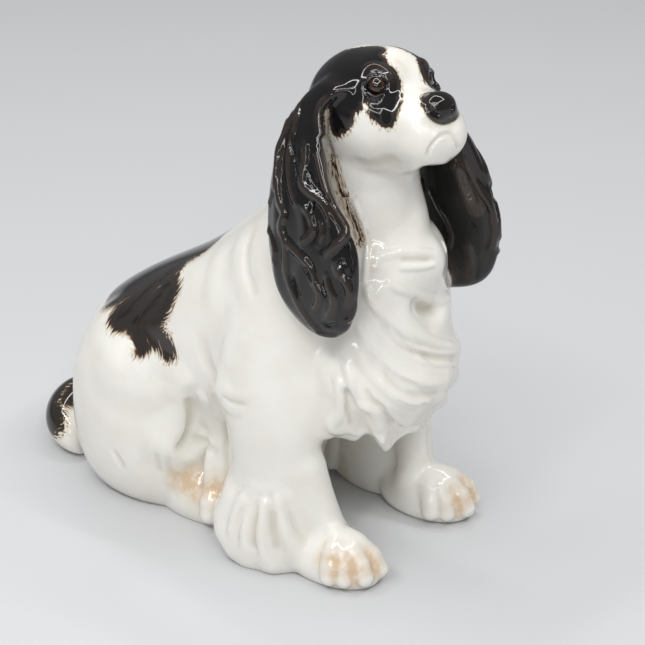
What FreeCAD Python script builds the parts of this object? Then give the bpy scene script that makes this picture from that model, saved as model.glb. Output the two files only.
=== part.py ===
# Seated spaniel figure in glazed china, slip-cast as a body, a head, two ears, four legs
# and a tail, which are stuck together with slip before the firing.
# Millimetres, +Z up. The dog looks along -Y, and its left side is at +X.
# The origin is on the ground, under the middle of the finished figure.

import FreeCAD
import Part
import math
import os
from FreeCAD import Vector

doc = FreeCAD.newDocument("SeatedSpaniel")
sheet = doc.addObject("Spreadsheet::Sheet", "Sizes")

driving_sizes = [
    ("cast_wall", 4.0, "thickness of the hollow castings"),
    ("body_height", 150.0, "ground to the neck joint"),
    ("body_length", 160.0, "chest to rump"),
    ("body_width", 72.0, "across the ribs"),
    ("neck_width", 44.0, "neck joint, side to side"),
    ("neck_depth", 51.0, "neck joint, front to back"),
    ("bib_width", 67.0, "chest feathering, side to side"),
    ("bib_height", 88.0, "chest feathering, top to bottom"),
    ("bib_depth", 24.0, "chest feathering, ahead of its own middle"),
    ("wave_radius", 5.0, "wave of the chest hair, round section"),
    ("wave_height", 1.7, "how far a wave stands proud of the bib"),
    ("wave_turn", 20.0, "degrees from the front to the lowest place of a wave, to the dog's left"),
    ("skull_width", 45.0, "across the skull"),
    ("skull_height", 44.0, "crown to throat"),
    ("head_length", 64.0, "back of the skull to the lips"),
    ("head_raise", 26.0, "neck joint to the middle of the skull"),
    ("head_yaw", 7.0, "degrees that the head turns to the dog's right"),
    ("head_pitch", 11.0, "degrees that the muzzle is lifted"),
    ("head_roll", 9.0, "degrees that the head tips to the dog's left"),
    ("nose_width", 15.0, "nose pad, side to side"),
    ("nose_height", 11.5, "nose pad, top to bottom"),
    ("nose_length", 10.0, "nose pad, front to back"),
    ("eye_diameter", 8.0, "eyeball"),
    ("eye_inset", 8.5, "side of the skull to the middle of the eye"),
    ("ear_length", 86.0, "root to tip"),
    ("ear_width", 45.0, "widest place"),
    ("ear_thickness", 12.0, "thickest place"),
    ("ear_stand", 15.5, "side of the skull to the middle of the ear, at its lower end"),
    ("lock_radius", 3.6, "lock of ear hair, round section"),
    ("lock_height", 1.3, "how far a lock stands proud of the ear"),
    ("foreleg_width", 34.0, "foreleg, side to side"),
    ("foreleg_depth", 43.0, "foreleg, front to back"),
    ("foreleg_height", 108.0, "ground to the end inside the shoulder"),
    ("foreleg_spacing", 66.0, "middle to middle of the forelegs"),
    ("foreleg_shift", 3.0, "how far both forelegs stand to the dog's left"),
    ("foreleg_bore", 19.0, "hollow inside each foreleg"),
    ("forepaw_length", 42.0, "forepaw, heel to toes"),
    ("forepaw_width", 26.5, "forepaw, side to side"),
    ("forepaw_height", 18.0, "ground to the top of the forepaw"),
    ("thigh_width", 38.0, "thigh, side to side"),
    ("thigh_length", 63.0, "thigh, front to back"),
    ("thigh_height", 76.0, "ground to the top of the thigh"),
    ("thigh_stand", 7.0, "how far each thigh stands proud of the ribs"),
    ("hindpaw_length", 42.0, "hind paw, hock to toes"),
    ("hindpaw_width", 25.0, "hind paw, side to side"),
    ("hindpaw_height", 19.0, "ground to the top of the hind paw"),
    ("tail_diameter", 26.0, "thickest place of the tail"),
    ("tail_clearance", 0.2, "ground to the underside of the tail"),
    ("tail_bend", 12.5, "radius of the tail's curl"),
    ("vent_diameter", 9.0, "draining hole under the body"),
    ("leg_vent_diameter", 5.0, "air hole behind each hollow leg"),
    ("cut_overrun", 1.0, "how far every cut runs past its wall"),
]
for row, (alias, value, note) in enumerate(driving_sizes, start=1):
    sheet.set(f"A{row}", alias)
    sheet.set(f"B{row}", str(value))
    sheet.set(f"C{row}", note)
    sheet.setAlias(f"B{row}", alias)
doc.recompute()


def size(alias):
    return float(sheet.get(alias))


# Rings: an oval of four quarter ellipses, with its own radius ahead of and behind its widest place.
across = Vector(1, 0, 0)
ahead = Vector(0, -1, 0)
upward = Vector(0, 0, 1)
quarter_weight = math.sqrt(0.5)


def quarter(centre, first, second):
    curve = Part.BezierCurve()
    curve.setPoles([centre + first, centre + first + second, centre + second])
    curve.setWeight(2, quarter_weight)
    return curve.toShape()


def ring(centre, side_axis, front_axis, half_width, front, back):
    spokes = [side_axis * half_width, front_axis * -back, side_axis * -half_width, front_axis * front]
    following = spokes[1:] + spokes[:1]
    return Part.Wire([quarter(centre, spoke, after) for spoke, after in zip(spokes, following)])


def loft(rings):
    return Part.makeLoft(rings, True, False)


def level_rings(rows, height, width, length, middle, inset=0.0, base=0.0):
    # Each row has shares for height, sideways, along, half width, front and back.
    made = []
    for rise, aside, along, half, front, back in rows:
        centre = middle + across * (aside * width) + ahead * (along * length) + upward * (rise * height)
        if rise == 0:
            centre = centre + upward * base
        made.append(ring(centre, across, ahead, half * width - inset,
                         front * length - inset, back * length - inset))
    return made


def between(rows, rise):
    # The row of a table of rings at a share of the height between two of its rows.
    for lower, upper in zip(rows, rows[1:]):
        if rise <= upper[0]:
            break
    share = (rise - lower[0]) / (upper[0] - lower[0])
    return [low + (high - low) * share for low, high in zip(lower, upper)]


def clay_roll(label, places, outs, radii):
    # A roll of clay through the places, round in section, with the outward direction at each.
    rings = []
    for number, (place, out, radius) in enumerate(zip(places, outs, radii)):
        course = places[min(number + 1, len(places) - 1)] - places[max(number - 1, 0)]
        side_axis = course.cross(out).normalize()
        front_axis = side_axis.cross(course).normalize()
        rings.append(ring(place, side_axis, front_axis, radius, radius, radius))
    return feature(label, loft(rings))


def feature(label, shape):
    made = doc.addObject("Part::Feature", label)
    made.Shape = shape
    return made


def boolean(kind, label, first, *others):
    made = doc.addObject(kind, label)
    if kind == "Part::Cut":
        made.Base = first
        made.Tool = others[0]
    else:
        made.Shapes = [first, *others]
    return made


# Body: level rings from the seat to the neck joint, which lean forward over the forelegs.
# Columns are shares of body_height, then sideways, then of body_length ahead of the seat,
# half the body_width, and of body_length ahead of and behind the widest place.
body_ring_shares = [
    (0.00, 0, -0.225, 0.375, 0.200, 0.200),
    (0.07, 0, -0.225, 0.430, 0.225, 0.238),
    (0.17, 0, -0.213, 0.472, 0.263, 0.269),
    (0.28, 0, -0.175, 0.486, 0.300, 0.316),
    (0.37, 0, -0.100, 0.493, 0.388, 0.380),
    (0.44, 0, -0.013, 0.500, 0.438, 0.427),
    (0.53, 0, 0.088, 0.500, 0.406, 0.432),
    (0.63, 0, 0.163, 0.479, 0.356, 0.362),
    (0.73, 0, 0.225, 0.438, 0.294, 0.280),
    (0.83, 0, 0.269, 0.382, 0.238, 0.214),
]
neck_ahead_share = 0.3125
neck_front_share = 0.51
neck_top_share = 1.0
neck_base_share = 0.93
neck_flare_share = 1.07
ground_middle = Vector(0, 0, 0)
neck_middle = ahead * (neck_ahead_share * size("body_length")) + upward * size("body_height")


def neck_ring(centre, scale_share, inset=0.0):
    depth = size("neck_depth") * scale_share
    half_width = size("neck_width") * scale_share / 2
    return ring(centre, across, ahead, half_width - inset,
                depth * neck_front_share - inset, depth * (1 - neck_front_share) - inset)


def body_rings(inset=0.0):
    rings = level_rings(body_ring_shares, size("body_height"), size("body_width"), size("body_length"),
                        ground_middle, inset, inset)
    rings.append(neck_ring(neck_middle - upward * (size("body_height") * (1 - neck_base_share)),
                           neck_flare_share, inset))
    rings.append(neck_ring(neck_middle, neck_top_share, inset))
    return rings


torso = feature("torso_outside", loft(body_rings()))
torso_hollow = feature("torso_hollow", loft(body_rings(size("cast_wall"))))

# Chest feathering, which hangs as a bib ahead of the forelegs. Shares of bib_height, then
# sideways, of bib_depth ahead of its middle, half the bib_width, front and back.
bib_ring_shares = [
    (0.00, 0, 0.15, 0.22, 0.20, 0.45),
    (0.05, 0, 0.10, 0.29, 0.32, 0.60),
    (0.12, 0, 0.05, 0.39, 0.50, 0.75),
    (0.22, 0, 0.03, 0.455, 0.75, 0.80),
    (0.36, 0, 0.02, 0.50, 0.97, 0.75),
    (0.54, 0, -0.02, 0.45, 0.74, 0.75),
    (0.72, 0, -0.08, 0.40, 0.77, 0.70),
    (0.86, 0, -0.18, 0.38, 0.88, 0.65),
    (0.95, 0, -0.35, 0.34, 0.68, 0.50),
    (1.00, 0, -0.55, 0.26, 0.40, 0.35),
]
bib_rise_share = 0.31
bib_ahead_share = 0.425
bib_foot = ahead * (bib_ahead_share * size("body_length")) + upward * (bib_rise_share * size("body_height"))
bib = feature("bib", loft(level_rings(bib_ring_shares, size("bib_height"), size("bib_width"),
                                      size("bib_depth"), bib_foot)))

# Waves of the chest hair lie around the bib and dip ahead. Shares of bib_height for the dip
# and for the lift at both ends, and degrees from the dip to each end.
bib_wave_shares = [
    (0.14, 0.28, 62),
    (0.27, 0.33, 66),
    (0.44, 0.31, 62),
]
wave_taper_shares = [(-1.0, 0.30), (-0.8, 0.62), (-0.45, 0.90), (0.0, 1.0), (0.45, 0.90), (0.8, 0.62),
                     (1.0, 0.30)]


def bib_wave(label, dip, lift, reach):
    places = []
    outs = []
    radii = []
    for turn, taper in wave_taper_shares:
        rise = dip + lift * (1 - math.cos(math.radians(turn * reach))) / (1 - math.cos(math.radians(reach)))
        angle = math.radians(size("wave_turn") + turn * reach)
        _, _, along, half, front, _ = between(bib_ring_shares, rise)
        out = across * math.sin(angle) + ahead * math.cos(angle)
        radius = size("wave_radius") * taper
        sunk = radius - size("wave_height") * taper
        surface = (bib_foot + upward * (rise * size("bib_height")) + ahead * (along * size("bib_depth"))
                   + across * (math.sin(angle) * half * size("bib_width"))
                   + ahead * (math.cos(angle) * front * size("bib_depth")))
        places.append(surface - out * sunk)
        outs.append(out)
        radii.append(radius)
    return clay_roll(label, places, outs, radii)


bib_waves = [bib_wave(f"bib_wave_{number}", *row) for number, row in enumerate(bib_wave_shares, start=1)]
body_outside = boolean("Part::MultiFuse", "body_outside", torso, bib, *bib_waves)

# Head frame: the middle of the skull, turned, lifted and tipped. The neck joint stays level.
yaw = math.radians(size("head_yaw"))
pitch = math.radians(size("head_pitch"))
roll = math.radians(size("head_roll"))
level_across = Vector(math.cos(yaw), -math.sin(yaw), 0)
head_level = Vector(-math.sin(yaw), -math.cos(yaw), 0)
muzzle_axis = head_level * math.cos(pitch) + upward * math.sin(pitch)
lifted = upward * math.cos(pitch) - head_level * math.sin(pitch)
head_across = level_across * math.cos(roll) - lifted * math.sin(roll)
brow_axis = lifted * math.cos(roll) + level_across * math.sin(roll)
skull_ahead_share = 0.145
skull_middle = (neck_middle + upward * size("head_raise")
                + head_level * (skull_ahead_share * size("head_length")))

# Skull and muzzle rings, square to the muzzle. Columns are shares of head_length ahead of the
# skull's middle, of skull_height below the axis, half the skull_width, and of skull_height
# above and below the widest place.
head_ring_shares = [
    (-0.350, 0.00, 0.09, 0.08, 0.10),
    (-0.315, 0.00, 0.24, 0.22, 0.24),
    (-0.235, 0.00, 0.38, 0.36, 0.38),
    (-0.120, 0.00, 0.47, 0.45, 0.48),
    (0.000, 0.00, 0.50, 0.475, 0.53),
    (0.120, 0.00, 0.485, 0.47, 0.55),
    (0.210, 0.01, 0.44, 0.43, 0.52),
    (0.290, 0.03, 0.375, 0.28, 0.47),
    (0.385, 0.06, 0.325, 0.21, 0.43),
    (0.490, 0.10, 0.30, 0.21, 0.36),
    (0.545, 0.13, 0.24, 0.14, 0.25),
    (0.575, 0.15, 0.12, 0.07, 0.12),
]


def head_rings(inset=0.0):
    made = []
    for along, drop, half, above, below in head_ring_shares:
        centre = (skull_middle + muzzle_axis * (along * size("head_length"))
                  - brow_axis * (drop * size("skull_height")))
        made.append(ring(centre, head_across, brow_axis, half * size("skull_width") - inset,
                         above * size("skull_height") - inset, below * size("skull_height") - inset))
    return made


# The neck leans from the joint up into the skull. Shares of the way there and of the joint's size.
neck_rise_shares = [(0.0, 1.0), (0.5, 0.90), (1.0, 0.72)]


def neck_rings(inset=0.0):
    made = []
    for rise, scale in neck_rise_shares:
        made.append(neck_ring(neck_middle + (skull_middle - neck_middle) * rise, scale, inset))
    return made


skull = feature("skull_outside", loft(head_rings()))
neck = feature("neck_outside", loft(neck_rings()))
hollow_rings = slice(2, 8)
skull_hollow = feature("skull_hollow", loft(head_rings(size("cast_wall"))[hollow_rings]))
neck_hollow = feature("neck_hollow", loft(neck_rings(size("cast_wall"))))

# Nose pad and eyeballs, bound to the sheet.
nose_ahead_share = 0.52
nose_rise_share = 0.02
eye_ahead_share = 0.225
eye_rise_share = 0.17
head_turn = FreeCAD.Rotation(head_across, muzzle_axis * -1, brow_axis)


def ellipsoid(label, centre, along_cell, across_cell, up_cell):
    made = doc.addObject("Part::Ellipsoid", label)
    made.setExpression("Radius1", f"Sizes.{up_cell} / 2")
    made.setExpression("Radius2", f"Sizes.{across_cell} / 2")
    made.setExpression("Radius3", f"Sizes.{along_cell} / 2")
    made.Placement = FreeCAD.Placement(centre, head_turn)
    return made


nose = ellipsoid("nose_pad", skull_middle + muzzle_axis * (nose_ahead_share * size("head_length"))
                 + brow_axis * (nose_rise_share * size("skull_height")),
                 "nose_length", "nose_width", "nose_height")
eyes = []
for side, name in ((-1, "right"), (1, "left")):
    eye_middle = (skull_middle + muzzle_axis * (eye_ahead_share * size("head_length"))
                  + brow_axis * (eye_rise_share * size("skull_height"))
                  + head_across * (side * (size("skull_width") / 2 - size("eye_inset"))))
    eyes.append(ellipsoid(f"{name}_eyeball", eye_middle, "eye_diameter", "eye_diameter", "eye_diameter"))
head_outside = boolean("Part::MultiFuse", "head_outside", skull, neck, nose, *eyes)
head_hollow = boolean("Part::MultiFuse", "head_hollow", skull_hollow, neck_hollow)

# Ears hang from the sides of the skull. Columns are shares of ear_length below the root, of half
# the ear_spread sideways, of ear_width ahead of the skull's middle, half thickness, half width.
# The tip of the left ear swings back a little.
ear_ring_shares = [
    (0.00, 0.50, 0.03, 0.22, 0.12),
    (0.07, 0.58, 0.02, 0.36, 0.25),
    (0.20, 0.72, 0.04, 0.43, 0.37),
    (0.40, 0.88, 0.10, 0.47, 0.45),
    (0.60, 0.97, 0.17, 0.50, 0.49),
    (0.77, 1.00, 0.22, 0.50, 0.465),
    (0.90, 0.99, 0.25, 0.42, 0.38),
    (0.97, 0.98, 0.27, 0.29, 0.22),
    (1.00, 0.97, 0.27, 0.13, 0.08),
]
ear_root_share = 0.22
ear_swing_shares = {-1: 0.0, 1: 0.10}
ear_spread = size("skull_width") + 2 * size("ear_stand")


# Locks of hair hang down the outer face of each ear. Degrees around the ear's section, towards
# its front, at each share of ear_length below the root, with the share of the full radius.
ear_lock_degrees = [(-38, -46, -36, -44, -34), (4, -6, 8, -4, 6), (40, 36, 46, 37, 42)]
ear_lock_shares = [(0.20, 0.45), (0.38, 0.95), (0.56, 1.0), (0.74, 0.95), (0.90, 0.45)]


def ear_centre(side, drop, spread, along):
    root = (skull_middle + upward * (ear_root_share * size("skull_height"))
            - upward * (side * size("skull_width") / 2 * math.sin(roll)))
    return (root - upward * (drop * size("ear_length"))
            + level_across * (side * spread * ear_spread / 2)
            + head_level * ((along - ear_swing_shares[side] * drop**3) * size("ear_width")))


def ear_lock(side, label, degrees):
    places = []
    outs = []
    radii = []
    for (drop, taper), degree in zip(ear_lock_shares, degrees):
        _, spread, along, half_thick, half_wide = between(ear_ring_shares, drop)
        angle = math.radians(degree)
        out = level_across * (side * math.cos(angle)) + head_level * (math.sin(angle) / 2)
        radius = size("lock_radius") * taper
        sunk = radius - size("lock_height") * taper
        surface = (ear_centre(side, drop, spread, along)
                   + level_across * (side * math.cos(angle) * half_thick * size("ear_thickness"))
                   + head_level * (math.sin(angle) * half_wide * size("ear_width")))
        places.append(surface - out.normalize() * sunk)
        outs.append(out)
        radii.append(radius)
    return clay_roll(label, places, outs, radii)


def ear_outside(side, name):
    rings = []
    for drop, spread, along, half_thick, half_wide in ear_ring_shares:
        wide = half_wide * size("ear_width")
        rings.append(ring(ear_centre(side, drop, spread, along), level_across, head_level,
                          half_thick * size("ear_thickness"), wide, wide))
    blade = feature(f"{name}_ear_blade", loft(rings))
    locks = [ear_lock(side, f"{name}_ear_lock_{number}", degrees)
             for number, degrees in enumerate(ear_lock_degrees, start=1)]
    return boolean("Part::MultiFuse", f"{name}_ear_outside", blade, *locks)


# Forelegs: a feathered column with the paw ahead of it. Shares of foreleg_height, of
# foreleg_width away from the middle of the leg, of foreleg_depth ahead, half width, front, back.
foreleg_ring_shares = [
    (0.00, 0.08, -0.02, 0.37, 0.38, 0.50),
    (0.05, 0.08, -0.02, 0.42, 0.44, 0.58),
    (0.13, 0.08, -0.02, 0.44, 0.46, 0.58),
    (0.26, 0.03, 0.00, 0.43, 0.44, 0.48),
    (0.42, 0.00, 0.02, 0.45, 0.45, 0.46),
    (0.58, 0.00, 0.02, 0.48, 0.47, 0.51),
    (0.75, -0.08, 0.00, 0.50, 0.49, 0.54),
    (0.89, -0.18, 0.00, 0.44, 0.42, 0.48),
    (1.00, -0.26, 0.00, 0.26, 0.25, 0.27),
]
forepaw_ring_shares = [
    (0.00, 0.00, 0.00, 0.43, 0.44, 0.45),
    (0.25, 0.00, 0.00, 0.50, 0.50, 0.50),
    (0.55, 0.00, 0.00, 0.47, 0.46, 0.50),
    (0.80, 0.00, 0.02, 0.36, 0.34, 0.42),
    (0.94, 0.00, 0.04, 0.22, 0.20, 0.28),
    (1.00, 0.00, 0.05, 0.10, 0.08, 0.12),
]
foreleg_ahead_share = 0.240
forepaw_ahead_share = 0.57
forepaw_inside_share = 0.12


def mirrored(rows, side):
    return [(rise, aside * side, *others) for rise, aside, *others in rows]


def foreleg_middle(side):
    return (across * (side * size("foreleg_spacing") / 2 + size("foreleg_shift"))
            + ahead * (foreleg_ahead_share * size("body_length")))


def foreleg_outside(side, name):
    column = feature(f"{name}_foreleg_column", loft(level_rings(
        mirrored(foreleg_ring_shares, side), size("foreleg_height"), size("foreleg_width"),
        size("foreleg_depth"), foreleg_middle(side))))
    paw_middle = (foreleg_middle(side) + ahead * (forepaw_ahead_share * size("forepaw_length"))
                  - across * (side * forepaw_inside_share * size("forepaw_width")))
    paw = feature(f"{name}_forepaw", loft(level_rings(
        forepaw_ring_shares, size("forepaw_height"), size("forepaw_width"), size("forepaw_length"),
        paw_middle)))
    return boolean("Part::MultiFuse", f"{name}_foreleg_outside", column, paw)


# Hind legs: a round thigh against the side of the body, with the paw flat on the ground.
thigh_ring_shares = [
    (0.00, -0.06, 0.00, 0.30, 0.36, 0.32),
    (0.10, -0.02, 0.00, 0.43, 0.44, 0.42),
    (0.28, 0.00, 0.00, 0.49, 0.49, 0.49),
    (0.50, 0.00, 0.00, 0.50, 0.49, 0.50),
    (0.72, -0.03, -0.03, 0.44, 0.42, 0.43),
    (0.90, -0.08, -0.05, 0.30, 0.28, 0.28),
    (1.00, -0.12, -0.06, 0.10, 0.09, 0.09),
]
hindpaw_ring_shares = [
    (0.00, 0.00, 0.00, 0.42, 0.45, 0.48),
    (0.30, 0.00, 0.00, 0.50, 0.50, 0.50),
    (0.62, 0.00, 0.00, 0.46, 0.45, 0.48),
    (0.88, 0.00, 0.02, 0.28, 0.26, 0.32),
    (1.00, 0.00, 0.03, 0.11, 0.09, 0.12),
]
thigh_back_share = 0.215
hindpaw_back_share = 0.03
hindpaw_inside_share = 0.08
thigh_spacing = size("body_width") + 2 * size("thigh_stand") - size("thigh_width")


def hindleg_outside(side, name):
    beside = across * (side * thigh_spacing / 2)
    thigh = feature(f"{name}_thigh", loft(level_rings(
        mirrored(thigh_ring_shares, side), size("thigh_height"), size("thigh_width"), size("thigh_length"),
        beside - ahead * (thigh_back_share * size("body_length")))))
    paw = feature(f"{name}_hindpaw", loft(level_rings(
        hindpaw_ring_shares, size("hindpaw_height"), size("hindpaw_width"), size("hindpaw_length"),
        beside * (1 - hindpaw_inside_share) - ahead * (hindpaw_back_share * size("body_length")))))
    return boolean("Part::MultiFuse", f"{name}_hindleg_outside", thigh, paw)


# Tail: round rings along a level arc that leaves the rump and curls to the dog's right, just
# clear of the ground. Columns are the ring's angle along the curl in degrees and the share of
# tail_diameter that is its radius.
tail_ring_shares = [
    (-40, 0.36),
    (0, 0.43),
    (40, 0.48),
    (80, 0.49),
    (115, 0.47),
    (145, 0.42),
    (170, 0.32),
    (184, 0.13),
]
tail_back_share = 0.444
tail_aside_share = 0.11


def tail_outside():
    bend = size("tail_bend")
    middle = (ahead * (-tail_back_share * size("body_length"))
              - across * (tail_aside_share * size("body_width")))
    rings = []
    for angle, radius_share in tail_ring_shares:
        radius = radius_share * size("tail_diameter")
        outward = across * math.cos(math.radians(angle)) - ahead * math.sin(math.radians(angle))
        centre = middle + outward * bend + upward * (radius + size("tail_clearance"))
        rings.append(ring(centre, outward, upward, radius, radius, radius))
    return feature("tail_outside", loft(rings))


# Holes: the draining hole in the seat, and an air hole from each hollow foreleg into the body.
def cylinder(label, diameter_cell, length, base, direction):
    made = doc.addObject("Part::Cylinder", label)
    made.setExpression("Radius", f"Sizes.{diameter_cell} / 2")
    made.Height = length
    made.Placement = FreeCAD.Placement(base, FreeCAD.Rotation(upward, direction))
    return made


vent_back_share = 0.225
vent_foot = ahead * (-vent_back_share * size("body_length")) - upward * size("cut_overrun")
seat_vent = cylinder("seat_vent", "vent_diameter", size("cast_wall") + 2 * size("cut_overrun"),
                     vent_foot, upward)
leg_vent_rise_share = 0.66
leg_bore_foot_share = 0.075
leg_bore_top_share = 0.80
leg_vents = []
leg_bores = {}
for side, name in ((-1, "right"), (1, "left")):
    bore_foot = foreleg_middle(side) + upward * (leg_bore_foot_share * size("foreleg_height"))
    bore_length = (leg_bore_top_share - leg_bore_foot_share) * size("foreleg_height")
    leg_bores[name] = cylinder(f"{name}_leg_bore", "foreleg_bore", bore_length, bore_foot, upward)
    vent_start = foreleg_middle(side) + upward * (leg_vent_rise_share * size("foreleg_height"))
    leg_vents.append(cylinder(f"{name}_leg_vent", "leg_vent_diameter", size("foreleg_spacing") / 2,
                              vent_start, across * -side))
body_hollow = boolean("Part::MultiFuse", "body_hollow", torso_hollow, seat_vent, *leg_vents)

# The finished castings. Each smaller one is trimmed to the larger one that it is stuck to.
body = boolean("Part::Cut", "body_casting", body_outside, body_hollow)
head = boolean("Part::Cut", "head_casting", head_outside, head_hollow)
trunk = boolean("Part::MultiFuse", "trunk_outside", body_outside, head_outside)
castings = [body, head]
for side, name in ((-1, "right"), (1, "left")):
    castings.append(boolean("Part::Cut", f"{name}_ear", ear_outside(side, name), trunk))
    hollow_leg = boolean("Part::Cut", f"{name}_foreleg_shell", foreleg_outside(side, name), leg_bores[name])
    castings.append(boolean("Part::Cut", f"{name}_foreleg", hollow_leg, body_outside))
hind_outsides = []
for side, name in ((-1, "right"), (1, "left")):
    hind_outsides.append(hindleg_outside(side, name))
    castings.append(boolean("Part::Cut", f"{name}_hindleg", hind_outsides[-1], body_outside))
rump = boolean("Part::MultiFuse", "rump_outside", body_outside, *hind_outsides)
castings.append(boolean("Part::Cut", "tail", tail_outside(), rump))
doc.recompute()

# Centre the figure over the origin.
box = FreeCAD.BoundBox()
for casting in castings:
    box.add(casting.Shape.optimalBoundingBox(False, False))
centring = Vector(-(box.XMin + box.XMax) / 2, -(box.YMin + box.YMax) / 2, 0)
for casting in castings:
    casting.Placement = FreeCAD.Placement(centring, FreeCAD.Rotation())
doc.recompute()

for item in doc.Objects:
    if "Invalid" in item.State or "Error" in item.State:
        raise RuntimeError(f"{item.Label} failed: {item.State}")
os.makedirs("parts", exist_ok=True)
for casting in castings:
    shape = casting.Shape
    if shape.isNull() or not shape.isValid() or not shape.Solids:
        raise RuntimeError(f"{casting.Label} has no valid solid")
    print(casting.Label, len(shape.Solids), round(shape.Volume), shape.BoundBox)
    shape.exportStep(f"parts/{casting.Label}.step")
print("centring", centring)
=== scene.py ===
import math

import bpy
import numpy as np
import openvdb as vdb
from mathutils import Matrix, Vector
from mathutils.bvhtree import BVHTree


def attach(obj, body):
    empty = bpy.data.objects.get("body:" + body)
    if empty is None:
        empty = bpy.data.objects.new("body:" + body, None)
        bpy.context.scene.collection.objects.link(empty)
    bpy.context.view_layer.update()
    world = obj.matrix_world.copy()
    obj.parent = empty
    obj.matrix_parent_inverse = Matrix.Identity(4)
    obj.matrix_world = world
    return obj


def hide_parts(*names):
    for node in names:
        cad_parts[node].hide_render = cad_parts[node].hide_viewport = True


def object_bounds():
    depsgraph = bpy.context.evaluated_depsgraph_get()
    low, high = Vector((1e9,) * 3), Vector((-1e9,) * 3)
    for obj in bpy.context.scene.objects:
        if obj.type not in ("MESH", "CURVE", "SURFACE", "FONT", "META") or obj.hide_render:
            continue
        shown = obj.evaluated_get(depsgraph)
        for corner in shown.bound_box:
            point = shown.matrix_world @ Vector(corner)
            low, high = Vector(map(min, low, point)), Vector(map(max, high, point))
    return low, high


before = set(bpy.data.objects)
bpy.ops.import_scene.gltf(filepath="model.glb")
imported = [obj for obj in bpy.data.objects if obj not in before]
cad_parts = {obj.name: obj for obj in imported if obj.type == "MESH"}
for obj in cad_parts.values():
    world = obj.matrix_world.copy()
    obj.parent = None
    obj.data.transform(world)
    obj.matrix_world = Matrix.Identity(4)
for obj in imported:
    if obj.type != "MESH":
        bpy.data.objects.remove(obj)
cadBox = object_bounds()
mm = 0.001


def stage(words):
    print("stage:", words)


# The view of the photograph. Sight points below are places in its picture, in picture points.
view = {
    "azimuth": -52.0,
    "elevation": 26.0,
    "distance": 800.0,
    "target": (-20.27, -49.32, 95.0),
    "focalShare": 2.767,
    "imageWidth": 645,
    "sensorWidth": 36.0,
    "clipStart": 0.01,
    "farthest": 2000.0,
}
viewAzimuth = math.radians(view["azimuth"])
viewElevation = math.radians(view["elevation"])
viewBack = np.array([math.sin(viewAzimuth) * math.cos(viewElevation),
                     -math.cos(viewAzimuth) * math.cos(viewElevation), math.sin(viewElevation)])
viewRight = np.array([math.cos(viewAzimuth), math.sin(viewAzimuth), 0.0])
viewUp = np.cross(viewBack, viewRight)
viewEye = np.array(view["target"]) + viewBack * view["distance"]
viewFocal = view["focalShare"] * view["distance"]
viewMiddle = view["imageWidth"] / 2

# The clay is a field of distances over a grid of voxels, positive outside.
clay = {
    "voxel": 0.7,
    "band": 14,
    "margin": 7.0,
    "seal": 0.5,
    "legBlend": 9.0,
    "earBlend": 3.0,
    "tailBlend": 4.0,
    "softening": 2,
    "spare": 1,
    "snaps": 3,
    "hemBlend": 2.5,
    "socketBlend": 2.0,
    "ventBlend": 0.5,
}
castingNames = sorted(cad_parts)
lowCorner = [math.floor((c / mm - clay["margin"]) / clay["voxel"]) for c in cadBox[0]]
highCorner = [math.ceil((c / mm + clay["margin"]) / clay["voxel"]) for c in cadBox[1]]
gridShape = [high - low + 1 for low, high in zip(lowCorner, highCorner)]


def meshArrays(mesh):
    mesh.calc_loop_triangles()
    points = np.empty(len(mesh.vertices) * 3, np.float32)
    mesh.vertices.foreach_get("co", points)
    corners = np.empty(len(mesh.loop_triangles) * 3, np.int32)
    mesh.loop_triangles.foreach_get("vertices", corners)
    return points.reshape(-1, 3) / mm, corners.reshape(-1, 3)


def fieldOf(points, triangles=None, quads=None):
    level = vdb.FloatGrid.createLevelSetFromPolygons(
        np.ascontiguousarray(points, np.float32),
        triangles=None if triangles is None else triangles.astype(np.uint32),
        quads=None if quads is None else quads.astype(np.uint32),
        transform=vdb.createLinearTransform(clay["voxel"]),
        halfWidth=clay["band"],
    )
    field = np.empty(gridShape, np.float32)
    level.copyToArray(field, ijk=lowCorner)
    return field


def skinOf(field, offset=0.0):
    level = vdb.FloatGrid(float(clay["band"] * clay["voxel"]))
    level.transform = vdb.createLinearTransform(clay["voxel"])
    level.copyFromArray(np.ascontiguousarray(field, np.float32), ijk=lowCorner)
    points, quads = level.convertToQuads(isovalue=offset)
    return points.astype(np.float64), quads.astype(np.int64)


def islandNames(count, faces):
    # The lowest vertex number of the connected faces that each face belongs to.
    label = np.arange(count)
    while True:
        lowest = label[faces].min(axis=1)
        spread = label.copy()
        for corner in range(faces.shape[1]):
            np.minimum.at(spread, faces[:, corner], lowest)
        spread = spread[spread]
        if (spread == label).all():
            return label[faces[:, 0]]
        label = spread


def outermost(points, quads):
    names = islandNames(len(points), quads)
    kinds, counts = np.unique(names, return_counts=True)
    return quads[names == kinds[counts.argmax()]]


def compacted(points, faces):
    used, faces = np.unique(faces, return_inverse=True)
    return points[used], faces.reshape(-1, 4), used


def blended(first, second, blend):
    near = np.maximum(blend - np.abs(first - second), 0) / blend
    return np.minimum(first, second) - near * near * blend / 4


def sampled(field, points):
    place = points / clay["voxel"] - lowCorner
    base = np.clip(np.floor(place).astype(np.int64), 0, np.array(gridShape) - 2)
    part = np.clip(place - base, 0, 1)
    total = np.zeros(len(points))
    for dx in (0, 1):
        for dy in (0, 1):
            for dz in (0, 1):
                weight = (
                    (part[:, 0] if dx else 1 - part[:, 0])
                    * (part[:, 1] if dy else 1 - part[:, 1])
                    * (part[:, 2] if dz else 1 - part[:, 2])
                )
                total += weight * field[base[:, 0] + dx, base[:, 1] + dy, base[:, 2] + dz]
    return total


def outward(field, points, reach):
    slope = np.empty_like(points)
    for axis in range(3):
        step = np.zeros(3)
        step[axis] = reach
        slope[:, axis] = sampled(field, points + step) - sampled(field, points - step)
    return slope / np.maximum(np.linalg.norm(slope, axis=1, keepdims=True), 1e-9)


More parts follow.
